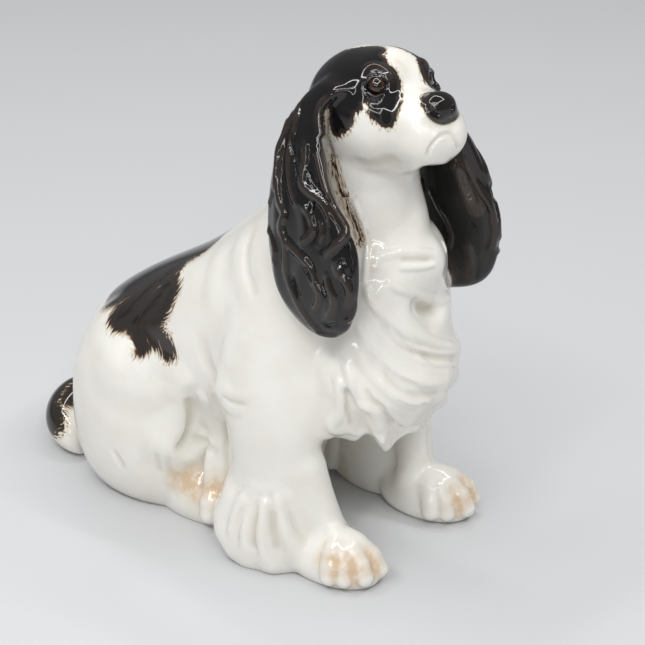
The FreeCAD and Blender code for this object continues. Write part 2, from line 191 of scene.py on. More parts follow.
def softened(field, passes):
    for _ in range(passes):
        for axis in range(3):
            before = np.roll(field, 1, axis)
            after = np.roll(field, -1, axis)
            field = field / 2 + (before + after) / 4
    return field


# Join the castings: head and body flush with each other, the rest with a fillet of slip.
castings = {}
for name in castingNames:
    castings[name] = fieldOf(*meshArrays(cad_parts[name].data))
stage("castings read")

# A plug of clay closes the draining hole, because the skin has to be closed.
vent = {"place": (-3.0, 36.6, 1.0), "radius": 7.0}


def gridPoints(low, high):
    # The voxels inside a box, as a slice of the grid and their places in mm.
    first = np.clip(np.floor(np.array(low) / clay["voxel"] - lowCorner).astype(int), 0, gridShape)
    last = np.clip(np.ceil(np.array(high) / clay["voxel"] - lowCorner).astype(int) + 1, 0, gridShape)
    cut = tuple(slice(a, b) for a, b in zip(first, last))
    axes = [(np.arange(a, b) + c) * clay["voxel"] for a, b, c in zip(first, last, lowCorner)]
    return cut, np.stack(np.meshgrid(*axes, indexing="ij"), axis=-1)


def addBall(field, centre, radii, turn=None, blend=2.0, carve=False):
    # An ellipsoid with its own axes in the rows of turn, added to the field or carved from it.
    radii = np.array(radii, float)
    reach = radii.max() + blend + clay["spare"]
    cut, places = gridPoints(np.array(centre) - reach, np.array(centre) + reach)
    local = places - np.array(centre)
    if turn is not None:
        local = local @ np.array(turn).T
    scaled = np.linalg.norm(local / radii, axis=-1)
    steep = np.linalg.norm(local / radii**2, axis=-1)
    ball = scaled * (scaled - 1) / np.maximum(steep, 1e-6)
    if carve:
        field[cut] = -blended(-field[cut], ball, blend)
    else:
        field[cut] = blended(field[cut], ball, blend)


def addRoll(field, route, radii, blend=2.0, carve=False):
    # A roll of clay along a route, whose thickness runs through the radii.
    route = np.array(route, float)
    radii = np.array(radii, float) * np.ones(len(route))
    reach = radii.max() + blend + clay["spare"]
    cut, places = gridPoints(route.min(axis=0) - reach, route.max(axis=0) + reach)
    roll = np.full(places.shape[:3], 1e3)
    for start, end, startRadius, endRadius in zip(route, route[1:], radii, radii[1:]):
        along = end - start
        share = np.clip(((places - start) @ along) / (along @ along), 0, 1)
        gap = np.linalg.norm(places - start - share[..., None] * along, axis=-1)
        roll = np.minimum(roll, gap - startRadius - share * (endRadius - startRadius))
    if carve:
        field[cut] = -blended(-field[cut], roll, blend)
    else:
        field[cut] = blended(field[cut], roll, blend)


# Trimming: clay that shows beyond an outline in the picture is cut off along the line of sight.
# The outline runs along the clay, and the waste closes it around the clay to be cut.
bibTrim = {
    "low": (-60.0, -110.0, 25.0), "high": (60.0, -20.0, 172.0), "blend": 3.0,
    "outline": [(420, 166), (422, 176), (425, 190), (435, 207), (443, 220), (452, 229), (458, 241),
                (456, 252), (462, 262), (460, 273), (456, 284), (453, 297), (452.5, 309), (453, 321),
                (456, 333), (462, 345), (460, 357), (459.5, 366), (464.5, 373), (464, 381), (458, 388),
                (447, 391), (449.5, 398), (446, 406), (437, 411), (430, 421), (419, 432), (404, 437),
                (393, 446), (386.5, 456), (381, 449), (372, 437), (366, 433), (360, 441), (354, 448.5),
                (345, 445), (334, 437), (322, 436)],
    "waste": [(322, 470), (560, 470), (560, 166)],
}
castingTrims = {
    "right_foreleg": {"low": (-60.0, -95.0, 0.0), "high": (0.0, 10.0, 110.0), "blend": 4.0,
                      "outline": [(345, 438), (330, 438), (321, 441), (319.5, 448), (322, 470),
                                  (327, 494), (334, 516), (343, 526), (357, 534.5), (372, 546),
                                  (381, 557), (386, 568), (384, 578)],
                      "waste": [(420, 590), (420, 438)]},
    "right_ear": {"low": (-62.0, -95.0, 90.0), "high": (-8.0, -20.0, 200.0), "blend": 2.5,
                  "outline": [(366, 74), (352, 86), (338, 94), (328, 100), (321, 107), (319, 115),
                              (319.5, 128), (322, 142), (326.5, 160), (331, 182), (337, 203), (345, 220),
                              (353, 236), (362, 254), (367, 270), (366, 284), (360, 297), (360, 309),
                              (354, 321), (349, 333), (338, 341)],
                  "waste": [(338, 430), (470, 430), (470, 74)]},
    "head_casting": {"low": (-40.0, -115.0, 161.0), "high": (45.0, -35.0, 206.0), "blend": 2.0,
                     "outline": [(396, 40), (417, 52), (425, 58), (431, 65), (434, 72), (436.5, 80),
                                 (439, 87), (446, 91.5), (453, 97), (457.5, 105), (459.5, 112), (463, 119),
                                 (465.5, 129), (464.5, 139), (460, 148), (452, 157), (440, 164)],
                     "waste": [(560, 164), (560, 40)]},
}
# The hem of the bib is trimmed once more when its rolls are laid, but nothing beyond a distance
# of the view, so that the leg behind it stays.
hemStart = (330, 300)
hemTrim = {
    "low": (-60.0, -110.0, 25.0), "high": (60.0, -20.0, 120.0), "blend": 1.5, "reach": 828.0,
    "outline": [(u, v) for u, v in bibTrim["outline"] if u > hemStart[0] and v > hemStart[1]],
    "waste": [(334, 458), (560, 458), (560, 309)],
}


def pictureOf(places):
    # The picture points of places, and their distances from the view.
    away = places - viewEye
    far = -(away @ viewBack)
    across = viewMiddle + viewFocal * (away @ viewRight) / far
    down = viewMiddle - viewFocal * (away @ viewUp) / far
    return across, down, far


def trimmed(field, trim):
    cut, places = gridPoints(trim["low"], trim["high"])
    u, v, far = pictureOf(places)
    line = np.array(trim["outline"], float)
    gap = np.full(u.shape, 1e9)
    for start, end in zip(line, line[1:]):
        along = end - start
        share = np.clip(((u - start[0]) * along[0] + (v - start[1]) * along[1]) / (along @ along), 0, 1)
        gap = np.minimum(gap, np.hypot(u - start[0] - share * along[0], v - start[1] - share * along[1]))
    ring = np.array(trim["outline"] + trim["waste"], float)
    inside = np.zeros(u.shape, bool)
    for start, end in zip(ring, np.roll(ring, -1, axis=0)):
        crosses = (start[1] > v) != (end[1] > v)
        rise = end[1] - start[1] if end[1] != start[1] else 1e-9
        inside ^= crosses & (u < start[0] + (v - start[1]) * (end[0] - start[0]) / rise)
    gap = gap * far / viewFocal
    waste = np.maximum(np.where(inside, -gap, gap), far - trim.get("reach", view["farthest"]))
    field = field.copy()
    field[cut] = -blended(-field[cut], waste, trim["blend"])
    return field


for name, trim in castingTrims.items():
    castings[name] = trimmed(castings[name], trim)
trunk = np.minimum(castings["body_casting"], castings["head_casting"])
addBall(trunk, vent["place"], (vent["radius"],) * 3, blend=clay["ventBlend"])
points, quads = skinOf(trunk, clay["seal"])
quads = outermost(points, quads)
figureField = fieldOf(points, quads=quads) + clay["seal"]

figureField = trimmed(figureField, bibTrim)
for name in castingNames:
    if "leg" in name:
        figureField = blended(figureField, castings[name], clay["legBlend"])
for name in castingNames:
    if "ear" in name:
        figureField = blended(figureField, castings[name], clay["earBlend"])
figureField = blended(figureField, castings["tail"], clay["tailBlend"])
points, quads = skinOf(figureField, clay["seal"])
figureField = softened(fieldOf(points, quads=outermost(points, quads)) + clay["seal"], clay["softening"])

# The stiff waves and locks of the castings are rubbed softer before the tooling.
rubbed = {
    "bib": {"low": (-45.0, -100.0, 40.0), "high": (40.0, -62.0, 148.0), "passes": 14},
    "nearEar": {"low": (-62.0, -80.0, 92.0), "high": (-34.0, -25.0, 182.0), "passes": 8},
    "farEar": {"low": (22.0, -95.0, 90.0), "high": (45.0, -40.0, 180.0), "passes": 8},
}
# Slip fills the belly and the deep clefts beside it.
bellySlip = {"balls": [((-3.0, -6.0, 30.0), (21.0, 24.0, 24.0)), ((-3.0, -6.0, 17.0), (18.0, 20.0, 16.9))],
             "blend": 5.0, "low": (-42.0, -30.0, 5.0), "high": (36.0, 30.0, 56.0), "closing": 4.0}


def boxShare(places, low, high, edge=6.0):
    # The share by which a change counts in a box, fading out towards its sides.
    inner = np.minimum(places - np.array(low), np.array(high) - places).min(axis=-1)
    share = np.clip(inner / edge, 0, 1)
    return share * share * (3 - 2 * share)


def rubSofter(field, low, high, passes):
    cut, places = gridPoints(low, high)
    block = field[cut]
    field[cut] = block + (softened(block.copy(), passes) - block) * boxShare(places, low, high)


def fillClefts(field, slip):
    points, quads = skinOf(field, slip["closing"])
    closed = fieldOf(points, quads=outermost(points, quads)) + slip["closing"]
    cut, places = gridPoints(slip["low"], slip["high"])
    added = np.minimum(closed[cut] - field[cut], 0)
    field[cut] = field[cut] + added * boxShare(places, slip["low"], slip["high"])


for middle, radii in bellySlip["balls"]:
    addBall(figureField, middle, radii, blend=bellySlip["blend"])
fillClefts(figureField, bellySlip)
for region in rubbed.values():
    rubSofter(figureField, region["low"], region["high"], region["passes"])
stage("castings joined")


# Sights and frames: a sight point is where the line of sight through it meets the clay.
def treeOf(points, quads):
    return BVHTree.FromPolygons(points.tolist(), quads.tolist())


def lineOfSight(u, v):
    ahead = -viewBack + viewRight * ((u - viewMiddle) / viewFocal) - viewUp * ((v - viewMiddle) / viewFocal)
    return ahead / np.linalg.norm(ahead)


def sighted(tree, u, v):
    hit, normal, _, _ = tree.ray_cast(Vector(viewEye), Vector(lineOfSight(u, v)))
    if hit is None:
        return None, None
    return np.array(hit), np.array(normal)


def besides(place, right, up):
    # A place moved across the picture by so many picture points.
    far = (viewEye - place) @ viewBack
    return place + (viewRight * right + viewUp * up) * (far / viewFocal)


headFrame = {"middle": (-4.13, -58.63, 176.0), "yaw": 7.0, "pitch": 11.0, "roll": 9.0}
yaw = math.radians(headFrame["yaw"])
pitch = math.radians(headFrame["pitch"])
lean = math.radians(headFrame["roll"])
headMiddle = np.array(headFrame["middle"])
upward = np.array([0.0, 0.0, 1.0])
levelAcross = np.array([math.cos(yaw), -math.sin(yaw), 0.0])
headLevel = np.array([-math.sin(yaw), -math.cos(yaw), 0.0])
muzzleAxis = headLevel * math.cos(pitch) + upward * math.sin(pitch)
lifted = upward * math.cos(pitch) - headLevel * math.sin(pitch)
headAcross = levelAcross * math.cos(lean) - lifted * math.sin(lean)
browAxis = lifted * math.cos(lean) + levelAcross * math.sin(lean)
headTurn = np.array([headAcross, muzzleAxis, browAxis])
bodyMirrorX = -3.0


def headPoint(across, ahead, above):
    return headMiddle + np.array([across, ahead, above]) @ headTurn


def mirroredPoint(place, how):
    # The same place on the other side of the head, of the ears or of the body.
    if how == "head":
        return place - 2 * ((place - headMiddle) @ headAcross) * headAcross
    if how == "ears":
        return place - 2 * ((place - headMiddle) @ levelAcross) * levelAcross
    return np.array([2 * bodyMirrorX - place[0], place[1], place[2]])


# Main forms of the head, as balls of clay at places in mm to its left, ahead and up.
headForms = {
    "nearBrow": {"at": (-8.8, 12.0, 9.6), "radii": (6.5, 6.5, 5.6), "blend": 5.0},
    "farBrow": {"at": (7.6, 11.5, 9.2), "radii": (5.5, 6.0, 5.2), "blend": 5.0},
    "nosePad": {"at": (-1.2, 32.6, 2.4), "radii": (6.3, 5.4, 4.3), "blend": 1.0},
    "chin": {"at": (0.0, 26.5, -13.5), "radii": (5.5, 7.0, 4.2), "blend": 3.0},
    "nearFlew": {"at": (-7.0, 24.0, -8.5), "radii": (6.8, 11.5, 9.2), "blend": 4.0},
    "farFlew": {"at": (7.0, 24.0, -8.5), "radii": (6.8, 11.5, 9.2), "blend": 4.0},
}
for form in headForms.values():
    addBall(figureField, headPoint(*form["at"]), form["radii"], headTurn, form["blend"])
eyes = {
    "right_eyeball": {"at": (-13.5, 15.8, 8.7), "gaze": (-0.62, 0.78, 0.10), "socket": (-15.8, 17.7, 8.7)},
    "left_eyeball": {"at": (10.0, 15.4, 8.7), "gaze": (0.55, 0.83, 0.10), "socket": (12.4, 17.4, 8.7)},
}
eyeBall = {"radius": 3.1, "socketRadii": (3.8, 3.8, 3.0), "segments": 48, "rings": 24}
for eye in eyes.values():
    addBall(figureField, headPoint(*eye["socket"]), eyeBall["socketRadii"], headTurn, clay["socketBlend"],
            carve=True)
stage("head forms")

points, quads = skinOf(figureField)
quads = outermost(points, quads)
bareTree = treeOf(points, quads)
stage("bare clay")

# The hem of the bib: locks that hang as teeth, each from a sight point by picture points.
bibHem = {
    "leftLock": {"from": (331, 412), "hang": (-1, -20), "radii": (6.0, 3.4), "sink": 4.6},
    "firstTooth": {"from": (350, 425), "hang": (5, -19), "radii": (4.6, 1.4), "sink": 3.6},
    "longTooth": {"from": (379, 425), "hang": (7, -27), "radii": (5.0, 0.9), "sink": 3.6},
    "rightTooth": {"from": (408, 415), "hang": (4, -14), "radii": (5.0, 2.0), "sink": 4.0},
    "frontTooth": {"from": (436, 396), "hang": (9, -8), "radii": (4.2, 1.6), "sink": 3.6},
}
for lock in bibHem.values():
    place, normal = sighted(bareTree, *lock["from"])
    top = place - normal * lock["sink"]
    addRoll(figureField, [top, besides(top, *lock["hang"])], lock["radii"], clay["hemBlend"])

# Rolls of clay laid along sight points, sunk so that they stand proud by a little; with a
# negative height they are carved. Twins lie on the other side of the body.
clayRolls = {
    "ankle": {"route": [(318, 470), (324, 500), (333, 524), (346, 540)], "radii": (5.0, 6.0, 6.5, 5.0),
              "proud": 2.2, "blend": 6.0, "twin": True},
    "upperArm": {"route": [(222, 388), (219, 405), (221, 420)], "radii": (6.0, 6.5, 5.0), "proud": 2.4,
                 "blend": 5.0, "twin": True},
    "middleArm": {"route": [(225, 432), (227, 450), (228, 470)], "radii": (6.0, 6.0, 6.0), "proud": 1.4,
                  "blend": 5.0, "twin": True},
    "heelFlare": {"route": [(229, 496), (221, 515), (222, 532), (232, 550)], "radii": (5.0, 6.0, 6.0, 5.0),
                  "proud": 2.0, "blend": 4.0, "twin": True},
    "hemFlareA": {"route": [(243, 500), (238, 530), (243, 560)], "radii": (3.0, 5.0, 5.0), "proud": 1.2,
                  "blend": 2.5, "twin": True},
    "hemFlareB": {"route": [(266, 505), (266, 535), (270, 566)], "radii": (3.0, 5.0, 5.0), "proud": 1.4,
                  "blend": 2.5, "twin": True},
    "hemFlareC": {"route": [(284, 500), (291, 530), (297, 562)], "radii": (3.0, 5.0, 4.5), "proud": 1.0,
                  "blend": 2.5, "twin": True},
    "thigh": {"route": [(118, 372), (150, 380), (178, 396), (184, 420), (172, 444)],
              "radii": (9.0, 12.0, 12.0, 10.0, 7.0), "proud": 1.6, "blend": 9.0, "twin": True},
    "bellyFold": {"route": [(197, 396), (201, 412), (198, 430), (190, 444)], "radii": (4.0, 4.5, 4.5, 4.0),
                  "proud": -1.3, "blend": 5.0, "twin": True},
    "bellyHairA": {"route": [(204, 398), (212, 418), (222, 440)], "radii": (3.5, 4.0, 3.5), "proud": 1.0,
                   "blend": 3.0, "twin": True},
    "collar": {"route": [(380, 258), (396, 252), (416, 251), (434, 253)], "radii": (5.0, 6.5, 7.0, 6.0),
               "proud": 0.8, "blend": 6.0},
    "foldA": {"route": [(394, 288), (404, 308), (415, 325), (428, 331), (438, 325), (446, 306)],
              "radii": (3.5, 5.0, 5.5, 5.5, 5.0, 3.5), "proud": 1.7, "blend": 4.0},
    "foldAPit": {"route": [(416, 306), (425, 311), (434, 306)], "radii": (4.0, 5.0, 4.0), "proud": -1.0,
                 "blend": 4.5},
    "foldB": {"route": [(376, 298), (386, 314), (402, 332), (422, 343), (442, 348), (459, 346)],
              "radii": (4.5, 5.5, 6.0, 5.5, 5.5, 5.0), "proud": 1.8, "blend": 5.0},
    "foldC": {"route": [(371, 322), (382, 345), (398, 363), (420, 375), (442, 379), (462, 379)],
              "radii": (4.5, 5.5, 6.0, 6.0, 5.5, 5.0), "proud": 1.8, "blend": 5.0},
    "foldD": {"route": [(358, 346), (366, 366), (380, 386), (398, 400), (420, 404), (442, 401)],
              "radii": (4.5, 5.5, 6.0, 6.0, 5.5, 4.5), "proud": 1.8, "blend": 4.5},
    "foldE": {"route": [(344, 352), (352, 378), (364, 401), (376, 424), (384, 446)],
              "radii": (4.5, 6.0, 6.0, 5.0, 2.8), "proud": 1.9, "blend": 4.0},
    "foldF": {"route": [(328, 366), (336, 392), (338, 412), (331, 430)], "radii": (4.0, 6.0, 6.5, 4.5),
              "proud": 2.2, "blend": 4.5},
    "underNose": {"route": [(428, 123), (440, 127), (453, 124)], "radii": (2.6, 3.0, 2.6), "proud": -1.2,
                  "blend": 1.5},
    "foldG": {"route": [(388, 402), (404, 416), (422, 424)], "radii": (4.0, 5.0, 4.0), "proud": 1.4,
              "blend": 4.0},
    "deepC": {"route": [(349, 392), (357, 412), (362, 430)], "radii": (2.0, 3.0, 2.5), "proud": -1.4,
              "blend": 3.0},
}
rollLeap = 40.0  # a longer step means that the sight has gone past the form


def rollPlaces(roll):
    # The places under the skin along the roll, and its radii there.
    sunk = []
    radii = []
    for point, radius in zip(roll["route"], roll["radii"]):
        place, normal = sighted(bareTree, *point)
        if place is None or (sunk and np.linalg.norm(place - sunk[-1]) > rollLeap):
            continue
        side = 1 if roll["proud"] > 0 else -1
        sunk.append(place + normal * (roll["proud"] - side * radius))
        radii.append(radius)
    return np.array(sunk), radii


# Toes: rolls over the front of each paw, in degrees from straight ahead and above the ground,
# as seen from a place inside the paw.
toeFans = {
    "rightForepaw": {"from": (-32.8, -67.0, 4.0), "degrees": (22, -11, -44, -76)},
    "leftForepaw": {"from": (26.8, -67.0, 4.0), "degrees": (-60, -27, 6, 38)},
    "rightHindpaw": {"from": (-25.1, -2.5, 4.0), "degrees": (28, -6, -40, -72)},
    "leftHindpaw": {"from": (19.1, -2.5, 4.0), "degrees": (-50, -17, 17, 50)},
}
toe = {"rises": (84, 58, 32, 8), "radii": (3.2, 4.0, 4.3, 3.6), "proud": 2.8, "blend": 0.3, "away": 40.0}
for fan in toeFans.values():
    heart = np.array(fan["from"])
    for turn in fan["degrees"]:
        route = []
        for rise, radius in zip(toe["rises"], toe["radii"]):
            turned, raised = math.radians(turn), math.radians(rise)
            way = np.array([math.sin(turned) * math.cos(raised), -math.cos(turned) * math.cos(raised),
                            math.sin(raised)])
            place, normal, _, _ = bareTree.ray_cast(Vector(heart + way * toe["away"]), Vector(-way))
            route.append(np.array(place) + np.array(normal) * (toe["proud"] - radius))
        addRoll(figureField, route, toe["radii"], toe["blend"])
for label, roll in clayRolls.items():
    places, radii = rollPlaces(roll)
    if len(places) < 2:
        print("roll left out:", label)
        continue
    sides = [places]
    if roll.get("twin"):
        sides.append(places * np.array([-1, 1, 1]) + np.array([2 * bodyMirrorX, 0, 0]))
    for side in sides:
        addRoll(figureField, side, radii, roll["blend"], carve=roll["proud"] < 0)
figureField = softened(trimmed(figureField, hemTrim), 1)
points, quads = skinOf(figureField)
quads = outermost(points, quads)
points, quads, _ = compacted(points, quads)
for _ in range(clay["snaps"]):
    facing = outward(figureField, points, clay["voxel"])
    points = points - sampled(figureField, points)[:, None] * facing
clayTree = treeOf(points, quads)
stage("skin of %d faces" % len(quads))

# Tooling: each stroke is pressed along a route of sight points with its half width and its
# height, negative for a groove. A twin is the same stroke on the other side of the head,
# of the ears or of the body.
faceStrokes = {
    "mouth": {"route": [(427, 156), (430, 149), (435, 141.5), (440, 136.5), (444.5, 134), (449, 133.5),
                        (453, 135.5), (456.5, 141), (458.5, 147)], "half": 1.3, "rise": -0.85},
    "lipEdge": {"route": [(432, 140), (437.5, 134), (444, 130.5), (450, 130), (455, 132.5)], "half": 2.2,
                "rise": 0.35},
    "chin": {"route": [(444, 147), (450, 146)], "half": 4.2, "rise": 0.9},
    "nearBrow": {"route": [(362, 72), (370, 67), (378, 66.5), (386, 71.5), (392, 78.5), (397, 86)],
                 "half": 3.2, "rise": 0.7, "twin": "head"},
    "upperLid": {"route": [(366.5, 84), (369.5, 79), (374.5, 76.5), (379.5, 78.5), (383.5, 84)],
                 "half": 1.2, "rise": 0.8, "twin": "head"},
    "lowerLid": {"route": [(367.5, 91), (371.5, 95.5), (377.5, 97), (383, 93)], "half": 1.3, "rise": 0.8,
                 "twin": "head"},
    "underEye": {"route": [(369, 101), (377, 103.5), (385, 101)], "half": 2.0, "rise": -0.4, "twin": "head"},
    "nearNostril": {"route": [(431.5, 110.5), (433.5, 114), (437.5, 116), (441, 114.5)], "half": 1.15,
                    "rise": -1.3},
    "farNostril": {"route": [(451.5, 111), (453.5, 108.5), (454, 105)], "half": 1.0, "rise": -1.2},
    "nearNoseWing": {"route": [(430, 105), (434, 109), (439, 111)], "half": 1.6, "rise": 0.4},
    "underNose": {"route": [(425, 110), (430, 118), (438, 123.5), (447, 123.5)], "half": 1.5, "rise": -0.5},
    "jaw": {"route": [(352, 158), (362, 163), (374, 164), (388, 160.5), (402, 160)], "half": 3.6,
            "rise": -0.8},
    "earFold": {"route": [(330, 97), (323, 103), (319, 111.5), (318.5, 124), (320.5, 138), (324.5, 152),
                          (330, 168), (336, 186)], "half": 1.8, "rise": 1.3, "twin": "ears"},
    "earNotch": {"route": [(327, 109), (325, 118), (324.5, 129), (326.5, 141), (331, 156)], "half": 1.9,
                 "rise": -1.6, "twin": "ears"},
}
earStrokes = {
    "lockA": {"route": [(303, 100), (299, 108), (295, 128), (289, 150), (288, 165), (291, 189), (296, 205)],
              "half": 2.2, "rise": 0.9},
    "lockB": {"route": [(297, 108), (290, 123), (281.5, 145), (279, 165), (277.5, 189), (280, 203),
                        (284, 214), (281, 228), (285, 244), (285.5, 264), (288, 279), (294, 295),
                        (301, 309), (310, 322), (322, 333)], "half": 2.4, "rise": 1.1},
    "lockC": {"route": [(292, 118), (283, 135), (277.5, 156), (275, 183), (269, 206), (264.5, 221)],
              "half": 1.9, "rise": 0.8},
    "lockD": {"route": [(268, 228), (272, 238), (274.5, 251), (274, 265), (271, 280), (269, 291)],
              "half": 2.2, "rise": 0.9},
    "lockE": {"route": [(286, 240), (293, 249), (302, 258), (310, 268), (313, 280), (318, 290), (319, 300),
                        (314, 312)], "half": 2.4, "rise": 1.1},
    "lockF": {"route": [(316, 150), (321, 170), (325, 186), (331, 202), (339, 215), (346, 227), (345, 236),
                        (334, 247), (323, 257)], "half": 2.3, "rise": 1.2},
    "lockG": {"route": [(306, 140), (305, 160), (302, 180), (307, 190), (317, 198), (326, 209), (331, 222)],
              "half": 2.2, "rise": 0.8},
    "lockH": {"route": [(300, 243), (308, 237), (313, 227), (309, 214), (302, 205)], "half": 1.9,
              "rise": 0.8},
    "lockI": {"route": [(318, 245), (322, 231), (320, 219)], "half": 1.7, "rise": 0.7},
    "lockJ": {"route": [(356, 238), (352, 252), (355, 266), (361, 280), (361, 293)], "half": 1.9,
              "rise": 0.9},
    "lockK": {"route": [(335, 262), (339, 275), (346, 284), (350, 297), (346, 310)], "half": 2.1,
              "rise": 1.0},
    "lockL": {"route": [(326, 276), (329, 289), (334, 300), (333, 311), (327, 320)], "half": 2.2,
              "rise": 1.0},
    "hemA": {"route": [(316, 331), (327, 335), (339, 335), (348, 331)], "half": 1.8, "rise": 0.8},
    "hemB": {"route": [(344, 322), (353, 317), (361, 309)], "half": 1.8, "rise": 0.9},
    "grooveA": {"route": [(312, 200), (311, 209), (309.5, 216)], "half": 1.4, "rise": -1.1},
    "grooveB": {"route": [(350, 226), (349, 237), (340, 248), (330, 258), (324, 266)], "half": 1.6,
                "rise": -1.5},
    "grooveC": {"route": [(346, 244), (347, 255), (350, 266), (349, 276)], "half": 1.3, "rise": -1.0},
    "grooveD": {"route": [(304, 266), (310, 275), (314, 284)], "half": 1.4, "rise": -1.1},
    "grooveE": {"route": [(321, 284), (324, 291), (327, 299)], "half": 1.5, "rise": -1.2},
    "grooveF": {"route": [(293, 276), (296, 288), (300, 298)], "half": 1.4, "rise": -0.9},
    "grooveG": {"route": [(322, 322), (329, 326), (338, 323)], "half": 1.4, "rise": -0.8},
    "grooveH": {"route": [(336, 268), (341, 262), (346, 262)], "half": 1.2, "rise": -0.8},
    "grooveI": {"route": [(308, 170), (314, 184), (323, 193), (332, 206)], "half": 1.3, "rise": -0.7},
    "grooveJ": {"route": [(294, 130), (292, 146), (295, 160), (297, 178)], "half": 1.2, "rise": -0.6},
}
for stroke in earStrokes.values():
    stroke["twin"] = "ears"
farEarStrokes = {
    "innerEdge": {"route": [(446, 163), (445, 178), (445, 192), (451, 205), (457, 219), (460, 234)],
                  "half": 1.6, "rise": 0.9},
    "innerHollow": {"route": [(461, 168), (466, 182), (472, 197), (475, 206)], "half": 3.0, "rise": -1.6},
    "outerEdge": {"route": [(464, 160), (472, 176), (481, 192), (489, 205), (494, 220), (495, 236),
                            (490, 252)], "half": 2.4, "rise": 1.0},
    "outerGroove": {"route": [(469, 181), (476, 193), (484, 204), (489, 216)], "half": 1.1, "rise": -0.8},
    "pit": {"route": [(471, 224), (475, 230)], "half": 1.4, "rise": -1.0},
    "lowerLobe": {"route": [(465, 240), (470, 255), (470, 270), (466, 282)], "half": 3.0, "rise": 0.7},
}
bibStrokes = {
    "collar": {"route": [(376, 258), (388, 255), (403, 252), (420, 252), (436, 254), (447, 251)],
               "half": 2.6, "rise": 1.0},
    "collarGroove": {"route": [(400, 261), (415, 260), (430, 260)], "half": 1.6, "rise": -0.8},
    "secondWave": {"route": [(398, 268), (410, 268), (424, 267), (436, 264)], "half": 1.8, "rise": 0.9},
    "thirdWave": {"route": [(390, 284), (402, 290), (414, 294), (428, 299), (440, 301), (449, 296)],
                  "half": 2.6, "rise": 1.1},
    "thirdGroove": {"route": [(416, 304), (426, 310), (436, 309)], "half": 3.0, "rise": -1.2},
    "fourthWave": {"route": [(372, 302), (380, 310), (390, 320), (402, 329), (414, 335), (426, 339),
                             (441, 344), (455, 347)], "half": 3.0, "rise": 1.1},
    "fourthGroove": {"route": [(380, 322), (392, 336), (406, 347), (422, 355), (440, 358), (455, 358)],
                     "half": 2.0, "rise": -0.6},
    "fineWrinkleA": {"route": [(412, 346), (426, 351), (440, 353), (455, 353)], "half": 1.5, "rise": 0.6},
    "fineWrinkleB": {"route": [(404, 356), (420, 362), (438, 365), (456, 364)], "half": 1.6, "rise": 0.6},
    "fineWrinkleC": {"route": [(386, 326), (398, 340), (414, 348), (428, 350)], "half": 1.6, "rise": 0.6},
    "fineWrinkleD": {"route": [(371, 344), (384, 362), (400, 374), (420, 380)], "half": 1.8, "rise": 0.6},
    "fineWrinkleE": {"route": [(396, 396), (412, 402), (430, 400), (446, 392)], "half": 1.5, "rise": 0.6},
    "fineWrinkleF": {"route": [(386, 408), (398, 420), (412, 425), (428, 420)], "half": 1.8, "rise": 0.7},
    "crossLockA": {"route": [(356, 322), (364, 344), (378, 366), (384, 386)], "half": 2.2, "rise": 0.7},
    "crossLockB": {"route": [(398, 330), (412, 344), (420, 358), (434, 372)], "half": 2.0, "rise": 0.5},
    "crossLockC": {"route": [(392, 372), (402, 386), (416, 392), (430, 404)], "half": 2.0, "rise": 0.5},
    "fifthWave": {"route": [(360, 322), (368, 338), (377, 352), (388, 363), (400, 373), (418, 382),
                            (440, 384), (458, 383)], "half": 3.0, "rise": 1.1},
    "fifthGroove": {"route": [(366, 352), (376, 366), (388, 378), (402, 390), (420, 395), (438, 394)],
                    "half": 2.0, "rise": -0.6},
    "sixthWave": {"route": [(357, 352), (366, 368), (378, 382), (390, 393), (404, 402), (420, 406),
                            (440, 405)], "half": 2.8, "rise": 1.0},
    "seventhWave": {"route": [(345, 360), (350, 378), (357, 398), (366, 408), (375, 413), (382, 430),
                              (386, 446)], "half": 3.0, "rise": 1.3},
    "seventhGroove": {"route": [(364, 388), (372, 400), (384, 410), (392, 424)], "half": 1.8, "rise": -0.9},
    "leftLock": {"route": [(336, 372), (340, 388), (341, 404), (337, 418), (330, 427)], "half": 3.2,
                 "rise": 1.3},
    "leftGroove": {"route": [(345, 400), (349, 412), (352, 424)], "half": 1.9, "rise": -1.0},
    "throatWispA": {"route": [(421, 176), (424, 192), (422, 210), (428, 224), (434, 236)], "half": 1.2,
                    "rise": 0.6},
    "throatWispB": {"route": [(430, 190), (437, 205), (446, 220), (452, 236), (449, 250)], "half": 1.4,
                    "rise": 0.7},
    "throatWispC": {"route": [(441, 240), (446, 254), (449, 270), (448, 290), (447, 305)], "half": 1.4,
                    "rise": 0.7},
    "nearWisp": {"route": [(352, 200), (358, 212), (364, 226), (367, 242), (366, 262), (364, 284)],
                 "half": 1.8, "rise": 0.7},
    "nearWave": {"route": [(366, 284), (368, 296), (374, 308), (384, 318)], "half": 2.4, "rise": 0.8},
}
